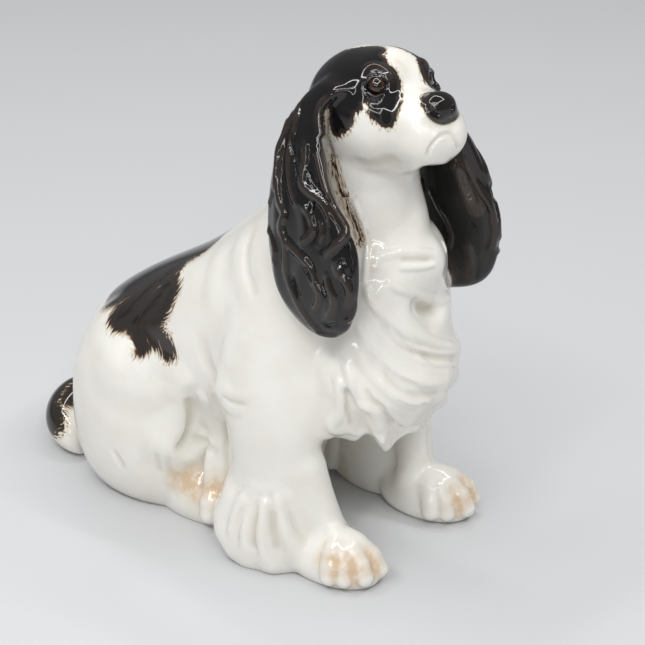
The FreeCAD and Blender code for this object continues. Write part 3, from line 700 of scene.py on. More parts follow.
forelegStrokes = {
    "featherA": {"route": [(252, 486), (243, 498), (236, 512), (232, 527), (231, 543)], "half": 4.0,
                 "rise": 1.5},
    "featherB": {"route": [(260, 490), (251, 504), (246, 520), (244, 536), (246, 552)], "half": 3.6,
                 "rise": 1.3},
    "featherC": {"route": [(268, 490), (264, 506), (262, 524), (262, 542), (265, 560)], "half": 3.8,
                 "rise": 1.6},
    "featherD": {"route": [(277, 488), (279, 506), (283, 522), (288, 540), (294, 556)], "half": 3.8,
                 "rise": 1.3},
    "furrowA": {"route": [(247, 506), (240, 522), (238, 540)], "half": 1.8, "rise": -0.9},
    "furrowB": {"route": [(258, 510), (254, 528), (253, 548)], "half": 2.0, "rise": -1.2},
    "furrowC": {"route": [(273, 508), (273, 528), (277, 550)], "half": 2.2, "rise": -1.1},
    "furrowD": {"route": [(288, 508), (295, 526), (304, 544)], "half": 2.4, "rise": -0.8},
    "cuffA": {"route": [(222, 386), (229, 392), (240, 396), (252, 396)], "half": 3.4, "rise": 0.5},
    "cuffB": {"route": [(221, 404), (230, 410), (243, 412)], "half": 3.2, "rise": 0.5},
    "cuffC": {"route": [(224, 430), (232, 440), (242, 448)], "half": 3.2, "rise": 0.4},
    "cuffFurrow": {"route": [(222, 397), (232, 403), (246, 405)], "half": 1.6, "rise": -0.6},
}
ribStrokes = {
    "neckWaveA": {"route": [(262, 226), (256, 246), (258, 268), (266, 292)], "half": 7.0, "rise": 0.7},
    "neckWaveB": {"route": [(244, 232), (238, 252), (240, 276), (248, 300)], "half": 6.0, "rise": 0.6},
    "neckFurrow": {"route": [(253, 232), (247, 252), (249, 276), (256, 298)], "half": 3.0, "rise": -0.6},
    "ribWaveA": {"route": [(222, 246), (214, 270), (212, 300), (216, 330)], "half": 7.0, "rise": 0.5},
    "shoulder": {"route": [(232, 330), (226, 350), (222, 372)], "half": 5.0, "rise": 0.6},
    "flank": {"route": [(200, 330), (204, 352), (212, 372), (218, 384)], "half": 5.0, "rise": -0.7},
    "kneeEdge": {"route": [(150, 362), (168, 368), (182, 380), (190, 396)], "half": 6.0, "rise": 0.7},
}
hindlegStrokes = {
    "hockA": {"route": [(156, 452), (157, 462), (160, 472)], "half": 2.0, "rise": -0.8},
    "hockB": {"route": [(170, 455), (169, 466), (171, 477)], "half": 2.0, "rise": -0.7},
    "hockC": {"route": [(112, 449), (118, 459), (124, 469)], "half": 2.6, "rise": -0.7},
    "thighEdge": {"route": [(187, 396), (191, 410), (190, 426), (183, 441), (177, 450)], "half": 3.0,
                  "rise": -1.4},
    "bellyEdge": {"route": [(193, 424), (201, 432), (211, 440), (219, 446)], "half": 2.6, "rise": 0.4},
    "bellyFurrow": {"route": [(190, 436), (200, 441), (212, 450), (219, 456)], "half": 3.0, "rise": -0.8},
}
for strokes in (forelegStrokes, ribStrokes, hindlegStrokes):
    for stroke in strokes.values():
        stroke["twin"] = "body"


sightLeap = 14.0  # a longer step means that the sight has gone past the form
strokeEnd = {"lead": 0.35, "length": 1.4}  # of the half width, over which a stroke fades in


def layStroke(stroke):
    # The stroke's line on the clay, with a smooth course between its sight points.
    # A point off the clay, or on a part far behind the last one, is left out.
    places = []
    for point in stroke["route"]:
        place, _ = sighted(clayTree, *point)
        if place is not None and (not places or np.linalg.norm(place - places[-1]) < sightLeap):
            places.append(place)
    if len(places) < 2:
        return []
    places = np.array(places)
    lines = [places]
    if "twin" in stroke:
        reflected = [mirroredPoint(place, stroke["twin"]) for place in places]
        lines.append(np.array([np.array(clayTree.find_nearest(Vector(place))[0]) for place in reflected]))
    return [smoothCourse(line) for line in lines]


def smoothCourse(line, between=4):
    ends = np.vstack([2 * line[0] - line[1], line, 2 * line[-1] - line[-2]])
    course = []
    for before, start, end, after in zip(ends, ends[1:], ends[2:], ends[3:]):
        for share in np.arange(between) / between:
            square, cube = share**2, share**3
            course.append(0.5 * (2 * start + (end - before) * share
                                 + (2 * before - 5 * start + 4 * end - after) * square
                                 + (3 * start - before - 3 * end + after) * cube))
    course.append(line[-1])
    return np.array(course)


def pressStroke(points, height, slope, course, half, rise):
    # Adds the stroke's height at the points near its course, and the slope of that height.
    low, high = course.min(axis=0) - half, course.max(axis=0) + half
    near = np.flatnonzero(((points > low) & (points < high)).all(axis=1))
    if not len(near):
        return
    places = points[near]
    lengths = np.linalg.norm(np.diff(course, axis=0), axis=1)
    total = lengths.sum()
    best = np.full(len(near), 1e9)
    closest = np.zeros((len(near), 3))
    along = np.zeros(len(near))
    run = 0.0
    for start, end, length in zip(course, course[1:], lengths):
        if length < 1e-6:
            continue
        share = np.clip(((places - start) @ (end - start)) / length**2, 0, 1)
        foot = start + share[:, None] * (end - start)
        gap = ((places - foot)**2).sum(axis=1)
        nearer = gap < best
        best = np.where(nearer, gap, best)
        closest[nearer] = foot[nearer]
        along = np.where(nearer, run + share * length, along)
        run += length
    ends = np.minimum(along, total - along) + half * strokeEnd["lead"]
    taper = np.minimum(1, ends / (half * strokeEnd["length"]))
    taper = taper * taper * (3 - 2 * taper)
    gap = np.sqrt(best)
    inside = gap < half
    share = gap / half
    bump = (1 - share**2)**2
    steep = -4 * share * (1 - share**2) / half
    near, places, closest = near[inside], places[inside], closest[inside]
    height[near] += rise * (taper * bump)[inside]
    away = (places - closest) / np.maximum(gap[inside], 1e-6)[:, None]
    slope[near] += (rise * taper * steep)[inside, None] * away


height = np.zeros(len(points))
slope = np.zeros((len(points), 3))
for strokes in (faceStrokes, earStrokes, farEarStrokes, bibStrokes, forelegStrokes, ribStrokes,
                hindlegStrokes):
    for stroke in strokes.values():
        for course in layStroke(stroke):
            pressStroke(points, height, slope, course, stroke["half"], stroke["rise"])
normals = outward(figureField, points, clay["voxel"])
# The shading follows the slope of the strokes, finer than the faces do.
tilt = slope - (slope * normals).sum(axis=1, keepdims=True) * normals
points = points + normals * height[:, None]
normals = normals - tilt
normals /= np.linalg.norm(normals, axis=1, keepdims=True)
points[:, 2] = np.maximum(points[:, 2], 0.0)
stage("tooling pressed")


# Underglaze painting: dabs of the brush along sight points, with a radius in mm, and the way in
# which the hair and the brush run there, as a step in the picture. A dab at a place of the head
# has mm to its left, ahead and up instead, and a dab at a place of the figure has plain mm.
headDabs = {
    "crown": {"route": [(318, 92), (330, 68), (350, 56), (366, 52)], "radius": 6.6},
    "crownSide": {"route": [(336, 84), (354, 70), (368, 62)], "radius": 6.4},
    "eyePatch": {"route": [(348, 88), (364, 82), (380, 82)], "radius": 7.2},
    "brow": {"route": [(378, 72), (387, 82), (389, 92)], "radius": 4.4},
    "underEye": {"route": [(372, 92), (386, 98), (388, 106)], "radius": 4.2},
    "cheek": {"route": [(384, 106), (387, 118)], "radius": 3.4},
    "cheekStreak": {"route": [(374, 104), (377, 116)], "radius": 2.2},
    "temple": {"route": [(334, 98), (342, 106), (340, 118)], "radius": 5.2},
    "templeTip": {"route": [(335, 118), (336, 130)], "radius": 2.6},
    "browSide": {"route": [(352, 94), (353, 104)], "radius": 3.4},
}
for dab in headDabs.values():
    dab.update({"hair": (-0.3, 3), "twin": "head", "strength": 1.7})
blackDabs = {
    **headDabs,
    "skullBack": {"head": [(-14, -16, 4), (0, -22, 2), (14, -16, 4)], "radius": 10.5, "hair": (0, 3),
                  "strength": 1.7},
    "skullTop": {"head": [(-15, -4, 13), (-6, -20, 14), (6, -20, 14), (15, -4, 13)], "radius": 9.0,
                 "hair": (-2, 3), "strength": 1.7},
    "nape": {"head": [(-10, -20, -12), (10, -20, -12)], "radius": 8.5, "hair": (0, 3), "strength": 1.7},
    "saddleCorner": {"route": [(118, 318), (124, 308), (134, 300), (150, 290)], "radius": 5.0,
                     "hair": (-3, 0.6)},
    "saddle": {"route": [(122, 318), (136, 302), (152, 286), (172, 270), (186, 258)], "radius": 5.8,
               "hair": (-3, 0.6)},
    "saddleMiddle": {"route": [(137, 320), (152, 304), (168, 284)], "radius": 6.0, "hair": (-3, 0.4)},
    "saddleFront": {"route": [(152, 326), (163, 308), (172, 290)], "radius": 4.6, "hair": (-3, 0.2)},
    "saddleTipA": {"route": [(138, 330), (143, 347)], "radius": 3.6, "hair": (0.6, 3)},
    "saddleTipB": {"route": [(155, 330), (163, 341), (169, 351)], "radius": 3.8, "hair": (0.8, 3)},
    "saddleBetween": {"route": [(146, 326), (154, 338)], "radius": 4.8, "hair": (0.8, 3)},
    "saddleSpine": {"figure": [(-17, 54, 84), (-12, 38, 98), (-7, 18, 110)], "radius": 15.0,
                    "hair": (3, 1.4)},
    "tailBand": {"figure": [(11, 84, 15), (2, 93, 16), (-11, 97, 16), (-24, 93, 16), (-33, 84, 16)],
                 "radius": 8.2, "hair": (2, 1)},
    "tailSight": {"route": [(66, 382), (57, 394), (51, 410), (52, 424)], "radius": 3.6, "hair": (3, 1)},
    "tailRoot": {"figure": [(2, 74, 26), (-12, 80, 27), (-24, 80, 26)], "radius": 6.0, "hair": (2, 2)},
    "earEdgeWash": {"route": [(329, 140), (333, 160), (339, 184), (347, 206), (357, 228), (361, 242)],
                    "radius": 0.2, "hair": (1, 3), "strength": 0.85, "twin": "ears"},
}
# Places where the black turns brown: rubbed thin in the far ear's hollow, and a painted reflection on the
# brow and in the ear notch, where brown is painted inside the bright outlines of the glaze.
thinAndReflectionDabs = {
    "farEarHollow": {"route": [(459, 166), (465, 182), (471, 197), (475, 208)], "radius": 3.2},
    "brow": {"route": [(381, 68), (388, 75)], "radius": 1.2, "twin": "head"},
    "earNotch": {"route": [(325, 112), (325, 124)], "radius": 1.0, "twin": "ears"},
}
thinAndReflectionBrowning = {"depth": 1.6, "steepness": 5.0}
headDepth = {"above": 148.0, "times": 2.2}
# Places tinted beige, above all the toes.
toeDabs = {
    "nearForepaw": {"route": [(334, 564), (352, 570), (372, 566)], "radius": 11.0, "twin": "body"},
    "hindPaw": {"route": [(186, 480), (200, 486), (216, 490)], "radius": 10.0, "twin": "body"},
    "tailTip": {"route": [(66, 424), (72, 432)], "radius": 3.0},
    "blazeTop": {"route": [(398, 62), (404, 68)], "radius": 2.5},
    "earWash": {"route": [(331, 150), (336, 176), (343, 200), (353, 222), (366, 246), (371, 268)],
                "radius": 3.6},
    "innerLegA": {"route": [(343, 458), (347, 480)], "radius": 3.6},
    "innerLegB": {"route": [(366, 456), (364, 486)], "radius": 2.6},
}
nosePad = {"middle": (-0.8, 34.0, 1.9), "radii": (8.0, 8.0, 6.4), "edge": 30.0}
brushHearts = {"above": 148.0, "head": (-4.0, -58.0, 176.0), "behind": 62.0, "tail": (-11.0, 84.0, 14.0),
               "back": (-25.0, 30.0, 80.0)}
earPaint = {"reach": 1.9, "steepness": 4.0}
defaultHair = (-1, 3)
painting = {
    "reach": 12.0,
    "tintReach": 4.0,
    "thinReach": 6.0,
    "hairOut": 9.0,
    "hairSpan": 12.0,
    "plainHair": 0.05,
    "stretch": 0.86,
    "hollowPasses": 10,
    "hollowStrength": 1.6,
}


def figureStep(place, step):
    # The unit course of a step in the picture, laid along the clay at a place.
    _, normal, _, _ = clayTree.find_nearest(Vector(place))
    course = viewRight * step[0] - viewUp * step[1]
    course = course - np.array(normal) * (course @ np.array(normal))
    return course / max(np.linalg.norm(course), 1e-6)


def dabCourses(dab):
    if "head" in dab:
        return [np.array([headPoint(*place) for place in dab["head"]])]
    if "figure" in dab:
        return [np.array(dab["figure"], float)]
    return layStroke(dab)


def courseDistance(places, course):
    best = np.full(len(places), 1e9)
    for start, end in zip(course, course[1:]):
        along = end - start
        share = np.clip(((places - start) @ along) / max(along @ along, 1e-9), 0, 1)
        best = np.minimum(best, np.linalg.norm(places - start - share[:, None] * along, axis=1))
    return best


def paintDabs(points, dabs, reach):
    # The depth inside the painted places in mm, and the way of the hair near them.
    depth = np.full(len(points), -reach)
    hair = np.zeros((len(points), 3))
    for dab in dabs.values():
        for course in dabCourses(dab):
            far = dab["radius"] + reach
            near = np.flatnonzero(((points > course.min(axis=0) - far)
                                   & (points < course.max(axis=0) + far)).all(axis=1))
            inside = dab["radius"] - courseDistance(points[near], course)
            depth[near] = np.maximum(depth[near], inside * dab.get("strength", 1.0))
            if "hair" in dab:
                weight = np.clip((inside + painting["hairOut"]) / painting["hairSpan"], 0, 1)**2
                hair[near] += weight[:, None] * figureStep(course[len(course) // 2], dab["hair"])
    return depth, hair


black, hair = paintDabs(points, blackDabs, painting["reach"])
black = np.where((points[:, 2] > headDepth["above"]) & (black > 0), black * headDepth["times"], black)
noseLocal = ((points - headPoint(*nosePad["middle"])) @ headTurn.T) / np.array(nosePad["radii"])
black = np.maximum(black, (1 - np.linalg.norm(noseLocal, axis=1)) * nosePad["edge"])
for name in ("right_ear", "left_ear"):
    inside = (earPaint["reach"] - sampled(castings[name], points)) * earPaint["steepness"]
    black = np.maximum(black, np.clip(inside, -painting["reach"], painting["reach"]))
# Brown where the black is thin, and brown painted as the inside of reflections on the brow and in the ear
# notch.
thinnedAndReflected, _ = paintDabs(points, thinAndReflectionDabs, painting["thinReach"])
black = np.minimum(black, thinAndReflectionBrowning["depth"] + np.maximum(-thinnedAndReflected, 0) * thinAndReflectionBrowning["steepness"])
toes, _ = paintDabs(points, toeDabs, painting["tintReach"])
# The relief is high on ridges and low in hollows; in the china it drives the pooled glaze and painted shade
# in the hollows.
smoothField = softened(figureField, painting["hollowPasses"])
relief = height + painting["hollowStrength"] * sampled(smoothField, points)
plainHair = viewRight * defaultHair[0] - viewUp * defaultHair[1]
hair = hair + painting["plainHair"] * (plainHair - (normals @ plainHair)[:, None] * normals)
hair /= np.maximum(np.linalg.norm(hair, axis=1, keepdims=True), 1e-6)
hearts = np.where((points[:, 2] > brushHearts["above"])[:, None], np.array(brushHearts["head"]),
                  np.where((points[:, 1] > brushHearts["behind"])[:, None], np.array(brushHearts["tail"]),
                           np.array(brushHearts["back"])))
fromHeart = points - hearts
alongHair = (fromHeart * hair).sum(axis=1, keepdims=True)
brushing = fromHeart - painting["stretch"] * alongHair * hair
stage("painted")


ownership = {"islandFaces": 4000, "smoothing": 8, "rounds": 2, "bodyLead": 0.8, "headLead": 0.4}


def assignPieces(points, quads):
    # Each face goes to the nearest casting, where flush castings leave it to the body. Then the
    # borders are smoothed, and small islands go to the casting around them.
    middles = points[quads].mean(axis=1)
    distances = np.stack([sampled(castings[name], middles) for name in castingNames])
    distances[castingNames.index("body_casting")] -= ownership["bodyLead"]
    distances[castingNames.index("head_casting")] -= ownership["headLead"]
    owner = distances.argmin(axis=0)
    for _ in range(ownership["rounds"]):
        for _ in range(ownership["smoothing"]):
            votes = np.zeros((len(points), len(castingNames)), np.int16)
            for corner in range(4):
                np.add.at(votes, (quads[:, corner], owner), 1)
            owner = votes[quads].sum(axis=1).argmax(axis=1)
        for number in range(len(castingNames)):
            chosen = np.flatnonzero(owner == number)
            if len(chosen):
                _, back, counts = np.unique(islandNames(len(points), quads[chosen]), return_inverse=True,
                                            return_counts=True)
                owner[chosen[counts[back] < min(ownership["islandFaces"], counts.max())]] = -1
        while (owner < 0).any():
            around = np.full(len(points), -1)
            kept = owner >= 0
            for corner in range(4):
                around[quads[kept, corner]] = owner[kept]
            owner[~kept] = around[quads[~kept]].max(axis=1)
    return owner, middles


owner, faceMiddles = assignPieces(points, quads)


def nodeAt(tree, kind, **settings):
    node = tree.nodes.new("ShaderNode" + kind)
    for name, value in settings.items():
        if hasattr(node, name):
            setattr(node, name, value)
        else:
            node.inputs[name.replace("_", " ")].default_value = value
    return node


def attributeNode(tree, name):
    return nodeAt(tree, "Attribute", attribute_name=name)


def mathNode(tree, operation, first, second):
    node = nodeAt(tree, "Math", operation=operation)
    for number, value in enumerate((first, second)):
        if isinstance(value, (int, float)):
            node.inputs[number].default_value = value
        else:
            tree.links.new(value, node.inputs[number])
    return node.outputs[0]


def rampNode(tree, value, stops):
    ramp = nodeAt(tree, "ValToRGB")
    elements = ramp.color_ramp.elements
    while len(elements) < len(stops):
        elements.new(0.5)
    for element, (place, colour) in zip(elements, stops):
        element.position = place
        element.color = (*colour, 1)
    tree.links.new(value, ramp.inputs["Fac"])
    return ramp.outputs["Color"]


def mixNode(tree, share, first, second):
    mix = nodeAt(tree, "Mix", data_type="RGBA")
    for socket, value in ((mix.inputs[0], share), (mix.inputs[6], first), (mix.inputs[7], second)):
        if isinstance(value, tuple):
            socket.default_value = (*value, 1)
        elif isinstance(value, (int, float)):
            socket.default_value = value
        else:
            tree.links.new(value, socket)
    return mix.outputs[2]


chinaPaint = {
    "white": (0.87, 0.855, 0.80),
    "creamyWhite": (0.82, 0.79, 0.715),
    # pooled glaze and painted shade in the hollows
    "hollowTint": (0.56, 0.50, 0.39),
    "beige": (0.56, 0.44, 0.30),
    "brown": (0.085, 0.048, 0.028),
    "brownBlack": (0.030, 0.024, 0.020),
    "black": (0.007, 0.0065, 0.007),
    "warmBlack": (0.045, 0.027, 0.018),
    "toes": (0.70, 0.53, 0.36),
    "roughness": 0.07,
    "ior": 1.52,
    "streakScale": 1.05,  # noises: over the brushing in mm, and over the object in metres
    "cloudScale": 70.0,
    "speckleScale": 330.0,
    "detail": 3.0,
    "feather": 10.0,  # mm of the black's depth that the streaks shift
    "inkPerMm": 0.05,  # ink is 0.5 at the edge of the black and grows inwards
    "inkEdge": 0.5,
    "whiteFrom": 0.35,
    "creamyFrom": 0.75,
    "hollowShare": -0.2,
    "hollowClouds": 0.2,
    "toeShare": 0.22,
    "toeSpeckle": -0.15,
    "toeGain": 1.5,
    "beigeInk": (0.38, 0.47),
    "beigeMost": (0.8, 0.8, 0.8),
    "darkInk": (0.455, 0.515),
    "brownInk": (0.49, 0.57, 0.76, 0.88),
    "fullInk": (0.70, 0.86),
    "thinRelief": 0.25,
    "thinClouds": 0.58,
    "rippleStrength": 0.06,
    "rippleDepth": 0.0006,
}
nothing = (0, 0, 0)
whole = (1, 1, 1)


def makeChina():
    # White glazed china with underglaze black, which feathers along the hair at its edges.
    material = bpy.data.materials.new("painted china")
    material.use_nodes = True
    tree = material.node_tree
    shader = tree.nodes["Principled BSDF"]
    brush = attributeNode(tree, "brushing")
    blackDepth = attributeNode(tree, "blackDepth")
    toeDepth = attributeNode(tree, "toeDepth")
    relief = attributeNode(tree, "relief")
    spots = nodeAt(tree, "TexCoord")
    detail = chinaPaint["detail"]
    streaks = nodeAt(tree, "TexNoise", Scale=chinaPaint["streakScale"], Detail=detail, Roughness=0.5)
    tree.links.new(brush.outputs["Vector"], streaks.inputs["Vector"])
    clouds = nodeAt(tree, "TexNoise", Scale=chinaPaint["cloudScale"], Detail=detail, Roughness=0.55)
    tree.links.new(spots.outputs["Object"], clouds.inputs["Vector"])
    speckle = nodeAt(tree, "TexNoise", Scale=chinaPaint["speckleScale"], Detail=detail, Roughness=0.6)
    tree.links.new(spots.outputs["Object"], speckle.inputs["Vector"])

    streak = mathNode(tree, "SUBTRACT", streaks.outputs["Fac"], 0.5)
    feathered = mathNode(tree, "MULTIPLY", streak, chinaPaint["feather"])
    ink = mathNode(tree, "ADD", blackDepth.outputs["Fac"], feathered)
    ink = mathNode(tree, "MULTIPLY", ink, chinaPaint["inkPerMm"])
    ink = mathNode(tree, "ADD", ink, chinaPaint["inkEdge"])

    # The white ground, darkened to cream and grey-beige in its hollows by pooled glaze and painted shade,
    # and beige on the toes.
    warmth = rampNode(tree, clouds.outputs["Fac"], [(chinaPaint["whiteFrom"], chinaPaint["white"]),
                                                    (chinaPaint["creamyFrom"], chinaPaint["creamyWhite"])])
    poolAndShade = mathNode(tree, "MULTIPLY", relief.outputs["Fac"], chinaPaint["hollowShare"])
    cloudy = mathNode(tree, "ADD", clouds.outputs["Fac"], chinaPaint["hollowClouds"])
    poolAndShade = mathNode(tree, "MULTIPLY", poolAndShade, cloudy)
    poolAndShade.node.use_clamp = True
    ground = mixNode(tree, poolAndShade, warmth, chinaPaint["hollowTint"])
    toeShare = mathNode(tree, "MULTIPLY", toeDepth.outputs["Fac"], chinaPaint["toeShare"])
    speckled = mathNode(tree, "ADD", speckle.outputs["Fac"], chinaPaint["toeSpeckle"])
    toeShare = mathNode(tree, "MULTIPLY", toeShare, speckled)
    inHollow = mathNode(tree, "SUBTRACT", 1.0, relief.outputs["Fac"])
    inHollow.node.use_clamp = True
    toeShare = mathNode(tree, "MULTIPLY", toeShare, inHollow)
    toeShare = mathNode(tree, "MULTIPLY", toeShare, chinaPaint["toeGain"])
    toeShare.node.use_clamp = True
    ground = mixNode(tree, toeShare, ground, chinaPaint["toes"])

    # The black, beige and brown at its feathered edge and warmer where it is thin.
    pale, beige = chinaPaint["beigeInk"]
    beigeShare = rampNode(tree, ink, [(pale, nothing), (beige, chinaPaint["beigeMost"])])
    ground = mixNode(tree, beigeShare, ground, chinaPaint["beige"])
    pale, covered = chinaPaint["darkInk"]
    darkShare = rampNode(tree, ink, [(pale, nothing), (covered, whole)])
    onRidge = mathNode(tree, "MULTIPLY", relief.outputs["Fac"], chinaPaint["thinRelief"])
    inClouds = mathNode(tree, "SUBTRACT", clouds.outputs["Fac"], chinaPaint["thinClouds"])
    thin = mathNode(tree, "ADD", onRidge, inClouds)
    thin.node.use_clamp = True
    darkest = mixNode(tree, thin, chinaPaint["black"], chinaPaint["warmBlack"])
    shades = (chinaPaint["brown"], chinaPaint["brownBlack"], chinaPaint["brownBlack"], nothing)
    dark = rampNode(tree, ink, list(zip(chinaPaint["brownInk"], shades)))
    brownish, black = chinaPaint["fullInk"]
    full = rampNode(tree, ink, [(brownish, nothing), (black, whole)])
    dark = mixNode(tree, full, dark, darkest)
    colour = mixNode(tree, darkShare, ground, dark)
    tree.links.new(colour, shader.inputs["Base Color"])
    shader.inputs["Roughness"].default_value = chinaPaint["roughness"]
    shader.inputs["IOR"].default_value = chinaPaint["ior"]
    ripple = nodeAt(tree, "Bump", Strength=chinaPaint["rippleStrength"], Distance=chinaPaint["rippleDepth"])
    tree.links.new(clouds.outputs["Fac"], ripple.inputs["Height"])
    tree.links.new(ripple.outputs["Normal"], shader.inputs["Normal"])
    return material


paintedChina = makeChina()


# Each piece of the skin is closed inside the china. Shares of the way to a middle, how deep under
# the skin the rings there lie in mm, and the places tried for that middle.
cap = {
    "shares": (0.0, 0.02, 0.07, 0.15, 0.28, 0.42, 0.58, 0.78),
    "under": (0.8, 1.2, 1.6, 1.8, 1.8, 1.8, 1.8, 1.8),
    "presses": 3,
    "inward": (0.0, 0.15, 0.3, 0.6, 0.9),
    "around": np.linspace(-0.6, 0.6, 5),
    "spokes": (0.15, 0.4, 0.7, 1.0),
    "rimPoints": 60,
}


def hiddenMiddle(rim, facing):
    # The place from which a fan to the rim stays deepest inside the clay.
    middle = rim.mean(axis=0)
    reach = np.linalg.norm(rim - middle, axis=1).mean()
    steps = cap["around"] * reach
    tries = [middle - facing * share * reach for share in cap["inward"]]
    tries += [middle + np.array([x, y, z]) for x in steps for y in steps for z in steps]
    sparse = rim[::max(1, len(rim) // cap["rimPoints"])]
    best, bestDepth = middle, 1e9
    for place in tries:
        spokes = [sparse + (place - sparse) * share for share in cap["spokes"]]
        depth = sampled(figureField, np.vstack(spokes)).max()
        if depth < bestDepth:
            best, bestDepth = place, depth
    return best


def sunkUnder(places, depth):
    # Places moved inwards until they lie so deep under the skin.
    for _ in range(cap["presses"]):
        lack = np.maximum(sampled(figureField, places) + depth, 0)
        places = places - outward(figureField, places, clay["voxel"]) * lack[:, None]
    return places


def capped(points, quads, normals):
    # Closes a piece of the skin inside the china, with rings that shrink from each open edge loop
    # to a middle and stay under the skin.
    starts = quads.ravel()
    ends = np.roll(quads, -1, axis=1).ravel()
    span = len(points)
    forward = starts * span + ends
    backward = ends * span + starts
    openEdge = ~np.isin(forward, backward)
    starts, ends = starts[openEdge], ends[openEdge]
    label = np.arange(span)
    while True:
        lowest = np.minimum(label[starts], label[ends])
        spread = label.copy()
        np.minimum.at(spread, starts, lowest)
        np.minimum.at(spread, ends, lowest)
        if (spread == label).all():
            break
        label = spread
    added = [np.zeros((0, 3))]
    bands = [np.zeros((0, 4), np.int64)]
    fans = [np.zeros((0, 3), np.int64)]
    count = span
    for loop in np.unique(label[starts]):
        rim = label[starts] == loop
        outer = np.unique(starts[rim])
        first, second = np.searchsorted(outer, starts[rim]), np.searchsorted(outer, ends[rim])
        edge = points[outer]
        middle = hiddenMiddle(edge, normals[outer].mean(axis=0))
        for share, under in zip(cap["shares"], cap["under"]):
            added.append(sunkUnder(edge + (middle - edge) * share, under))
            inner = count + np.arange(len(edge))
            count += len(edge)
            bands.append(np.stack([outer[second], outer[first], inner[first], inner[second]], axis=1))
            outer = inner
        added.append(middle[None])
        fans.append(np.stack([outer[second], outer[first], np.full(len(first), count)], axis=1))
        count += 1
    return np.concatenate(added), np.concatenate(bands), np.concatenate(fans)


def makePiece(name, points, quads, normals, material, paint):
    hidden, bands, fans = capped(points, quads, normals)
    places = np.vstack([points, hidden])
    facing = np.vstack([normals, np.zeros((len(hidden), 3))])
    quads = np.vstack([quads, bands])
    mesh = bpy.data.meshes.new(name)
    mesh.vertices.add(len(places))
    mesh.vertices.foreach_set("co", (places * mm).astype(np.float32).ravel())
    corners = np.concatenate([quads.ravel(), fans.ravel()]).astype(np.int32)
    mesh.loops.add(len(corners))
    mesh.loops.foreach_set("vertex_index", corners)
    mesh.polygons.add(len(quads) + len(fans))
    firsts = np.concatenate([np.arange(len(quads)) * 4, len(quads) * 4 + np.arange(len(fans)) * 3])
    mesh.polygons.foreach_set("loop_start", firsts.astype(np.int32))
    mesh.update(calc_edges=True)
    mesh.polygons.foreach_set("use_smooth", np.ones(len(firsts), bool))
    mesh.normals_split_custom_set_from_vertices(facing.astype(np.float32))
    for label, values in paint.items():
        kind = "FLOAT" if values.ndim == 1 else "FLOAT_VECTOR"
        layer = mesh.attributes.new(label, kind, "POINT")
        unpainted = -painting["reach"] if label == "blackDepth" else 0.0
        filled = np.concatenate([values, np.full((len(hidden),) + values.shape[1:], unpainted)])
        layer.data.foreach_set("value" if kind == "FLOAT" else "vector", filled.astype(np.float32).ravel())
    mesh.materials.append(material)
    piece = bpy.data.objects.new(name, mesh)
    bpy.context.collection.objects.link(piece)
    return piece


# The body is too large for one piece, so its skin is split across the ribs and across the seat.
splits = {"chestFront": -42.0, "seatBack": 8.0}
paintLayers = {"blackDepth": black, "toeDepth": toes, "relief": relief, "brushing": brushing}
for number, name in enumerate(castingNames):
    parts = {"": owner == number}
    if name == "body_casting":
        along = faceMiddles[:, 1]
        parts = {"_chest": (owner == number) & (along < splits["chestFront"]),
                 "_ribs": (owner == number) & (along >= splits["chestFront"]) & (along < splits["seatBack"]),
                 "_rump": (owner == number) & (along >= splits["seatBack"])}
    for ending, chosen in parts.items():
        piecePoints, pieceQuads, used = compacted(points, quads[chosen])
        paint = {label: layer[used] for label, layer in paintLayers.items()}
        piece = makePiece(name.replace("_casting", "") + ending + "_glazed", piecePoints, pieceQuads,
                          normals[used], paintedChina, paint)
        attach(piece, "root")
        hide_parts(name)
stage("pieces made")

# Eyeballs, painted under a glassy glaze. The rings of the iris run from its middle to its rim.
eyePaint = {
    "rings": [(0.0, (0.006, 0.005, 0.005)), (0.30, (0.008, 0.006, 0.005)), (0.40, (0.06, 0.02, 0.006)),
              (0.55, (0.028, 0.010, 0.005)), (0.70, (0.008, 0.006, 0.005))],
    "grainScale": 900.0,
    "grain": 0.12,
    "roughness": 0.04,
    "coat": 0.6,
}


def makeEye(name, eye):
    middle = headPoint(*eye["at"])
    gaze = np.array(eye["gaze"]) @ headTurn
    radius = eyeBall["radius"]
    bpy.ops.mesh.primitive_uv_sphere_add(segments=eyeBall["segments"], ring_count=eyeBall["rings"],
                                         radius=radius * mm)
    ball = bpy.context.object
    ball.name = name
    turn = Vector(gaze).to_track_quat("Z", "Y").to_matrix().to_4x4()
    turn.translation = Vector(middle) * mm
    ball.data.transform(turn)
    places = np.array([vertex.co for vertex in ball.data.vertices])
    out = (places / mm - middle) / radius
    angle = np.arccos(np.clip(out @ gaze / np.linalg.norm(gaze), -1, 1)) / math.pi * 2
    layer = ball.data.attributes.new("iris", "FLOAT", "POINT")
    layer.data.foreach_set("value", angle.astype(np.float32))
    for face in ball.data.polygons:
        face.use_smooth = True
    return ball


def makeEyeGlaze():
    material = bpy.data.materials.new("painted eye")
    material.use_nodes = True
    tree = material.node_tree
    shader = tree.nodes["Principled BSDF"]
    iris = attributeNode(tree, "iris")
    grain = nodeAt(tree, "TexNoise", Scale=eyePaint["grainScale"], Detail=chinaPaint["detail"])
    coordinates = nodeAt(tree, "TexCoord")
    tree.links.new(coordinates.outputs["Object"], grain.inputs["Vector"])
    uneven = mathNode(tree, "SUBTRACT", grain.outputs["Fac"], 0.5)
    uneven = mathNode(tree, "MULTIPLY", uneven, eyePaint["grain"])
    wavy = mathNode(tree, "ADD", iris.outputs["Fac"], uneven)
    colour = rampNode(tree, wavy, eyePaint["rings"])
    tree.links.new(colour, shader.inputs["Base Color"])
    shader.inputs["Roughness"].default_value = eyePaint["roughness"]
    shader.inputs["Coat Weight"].default_value = eyePaint["coat"]
    return material


eyeGlaze = makeEyeGlaze()
for name, eye in eyes.items():
    ball = makeEye(name, eye)
    ball.data.materials.append(eyeGlaze)
    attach(ball, "root")
    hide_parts("head_casting")
stage("eyes made")

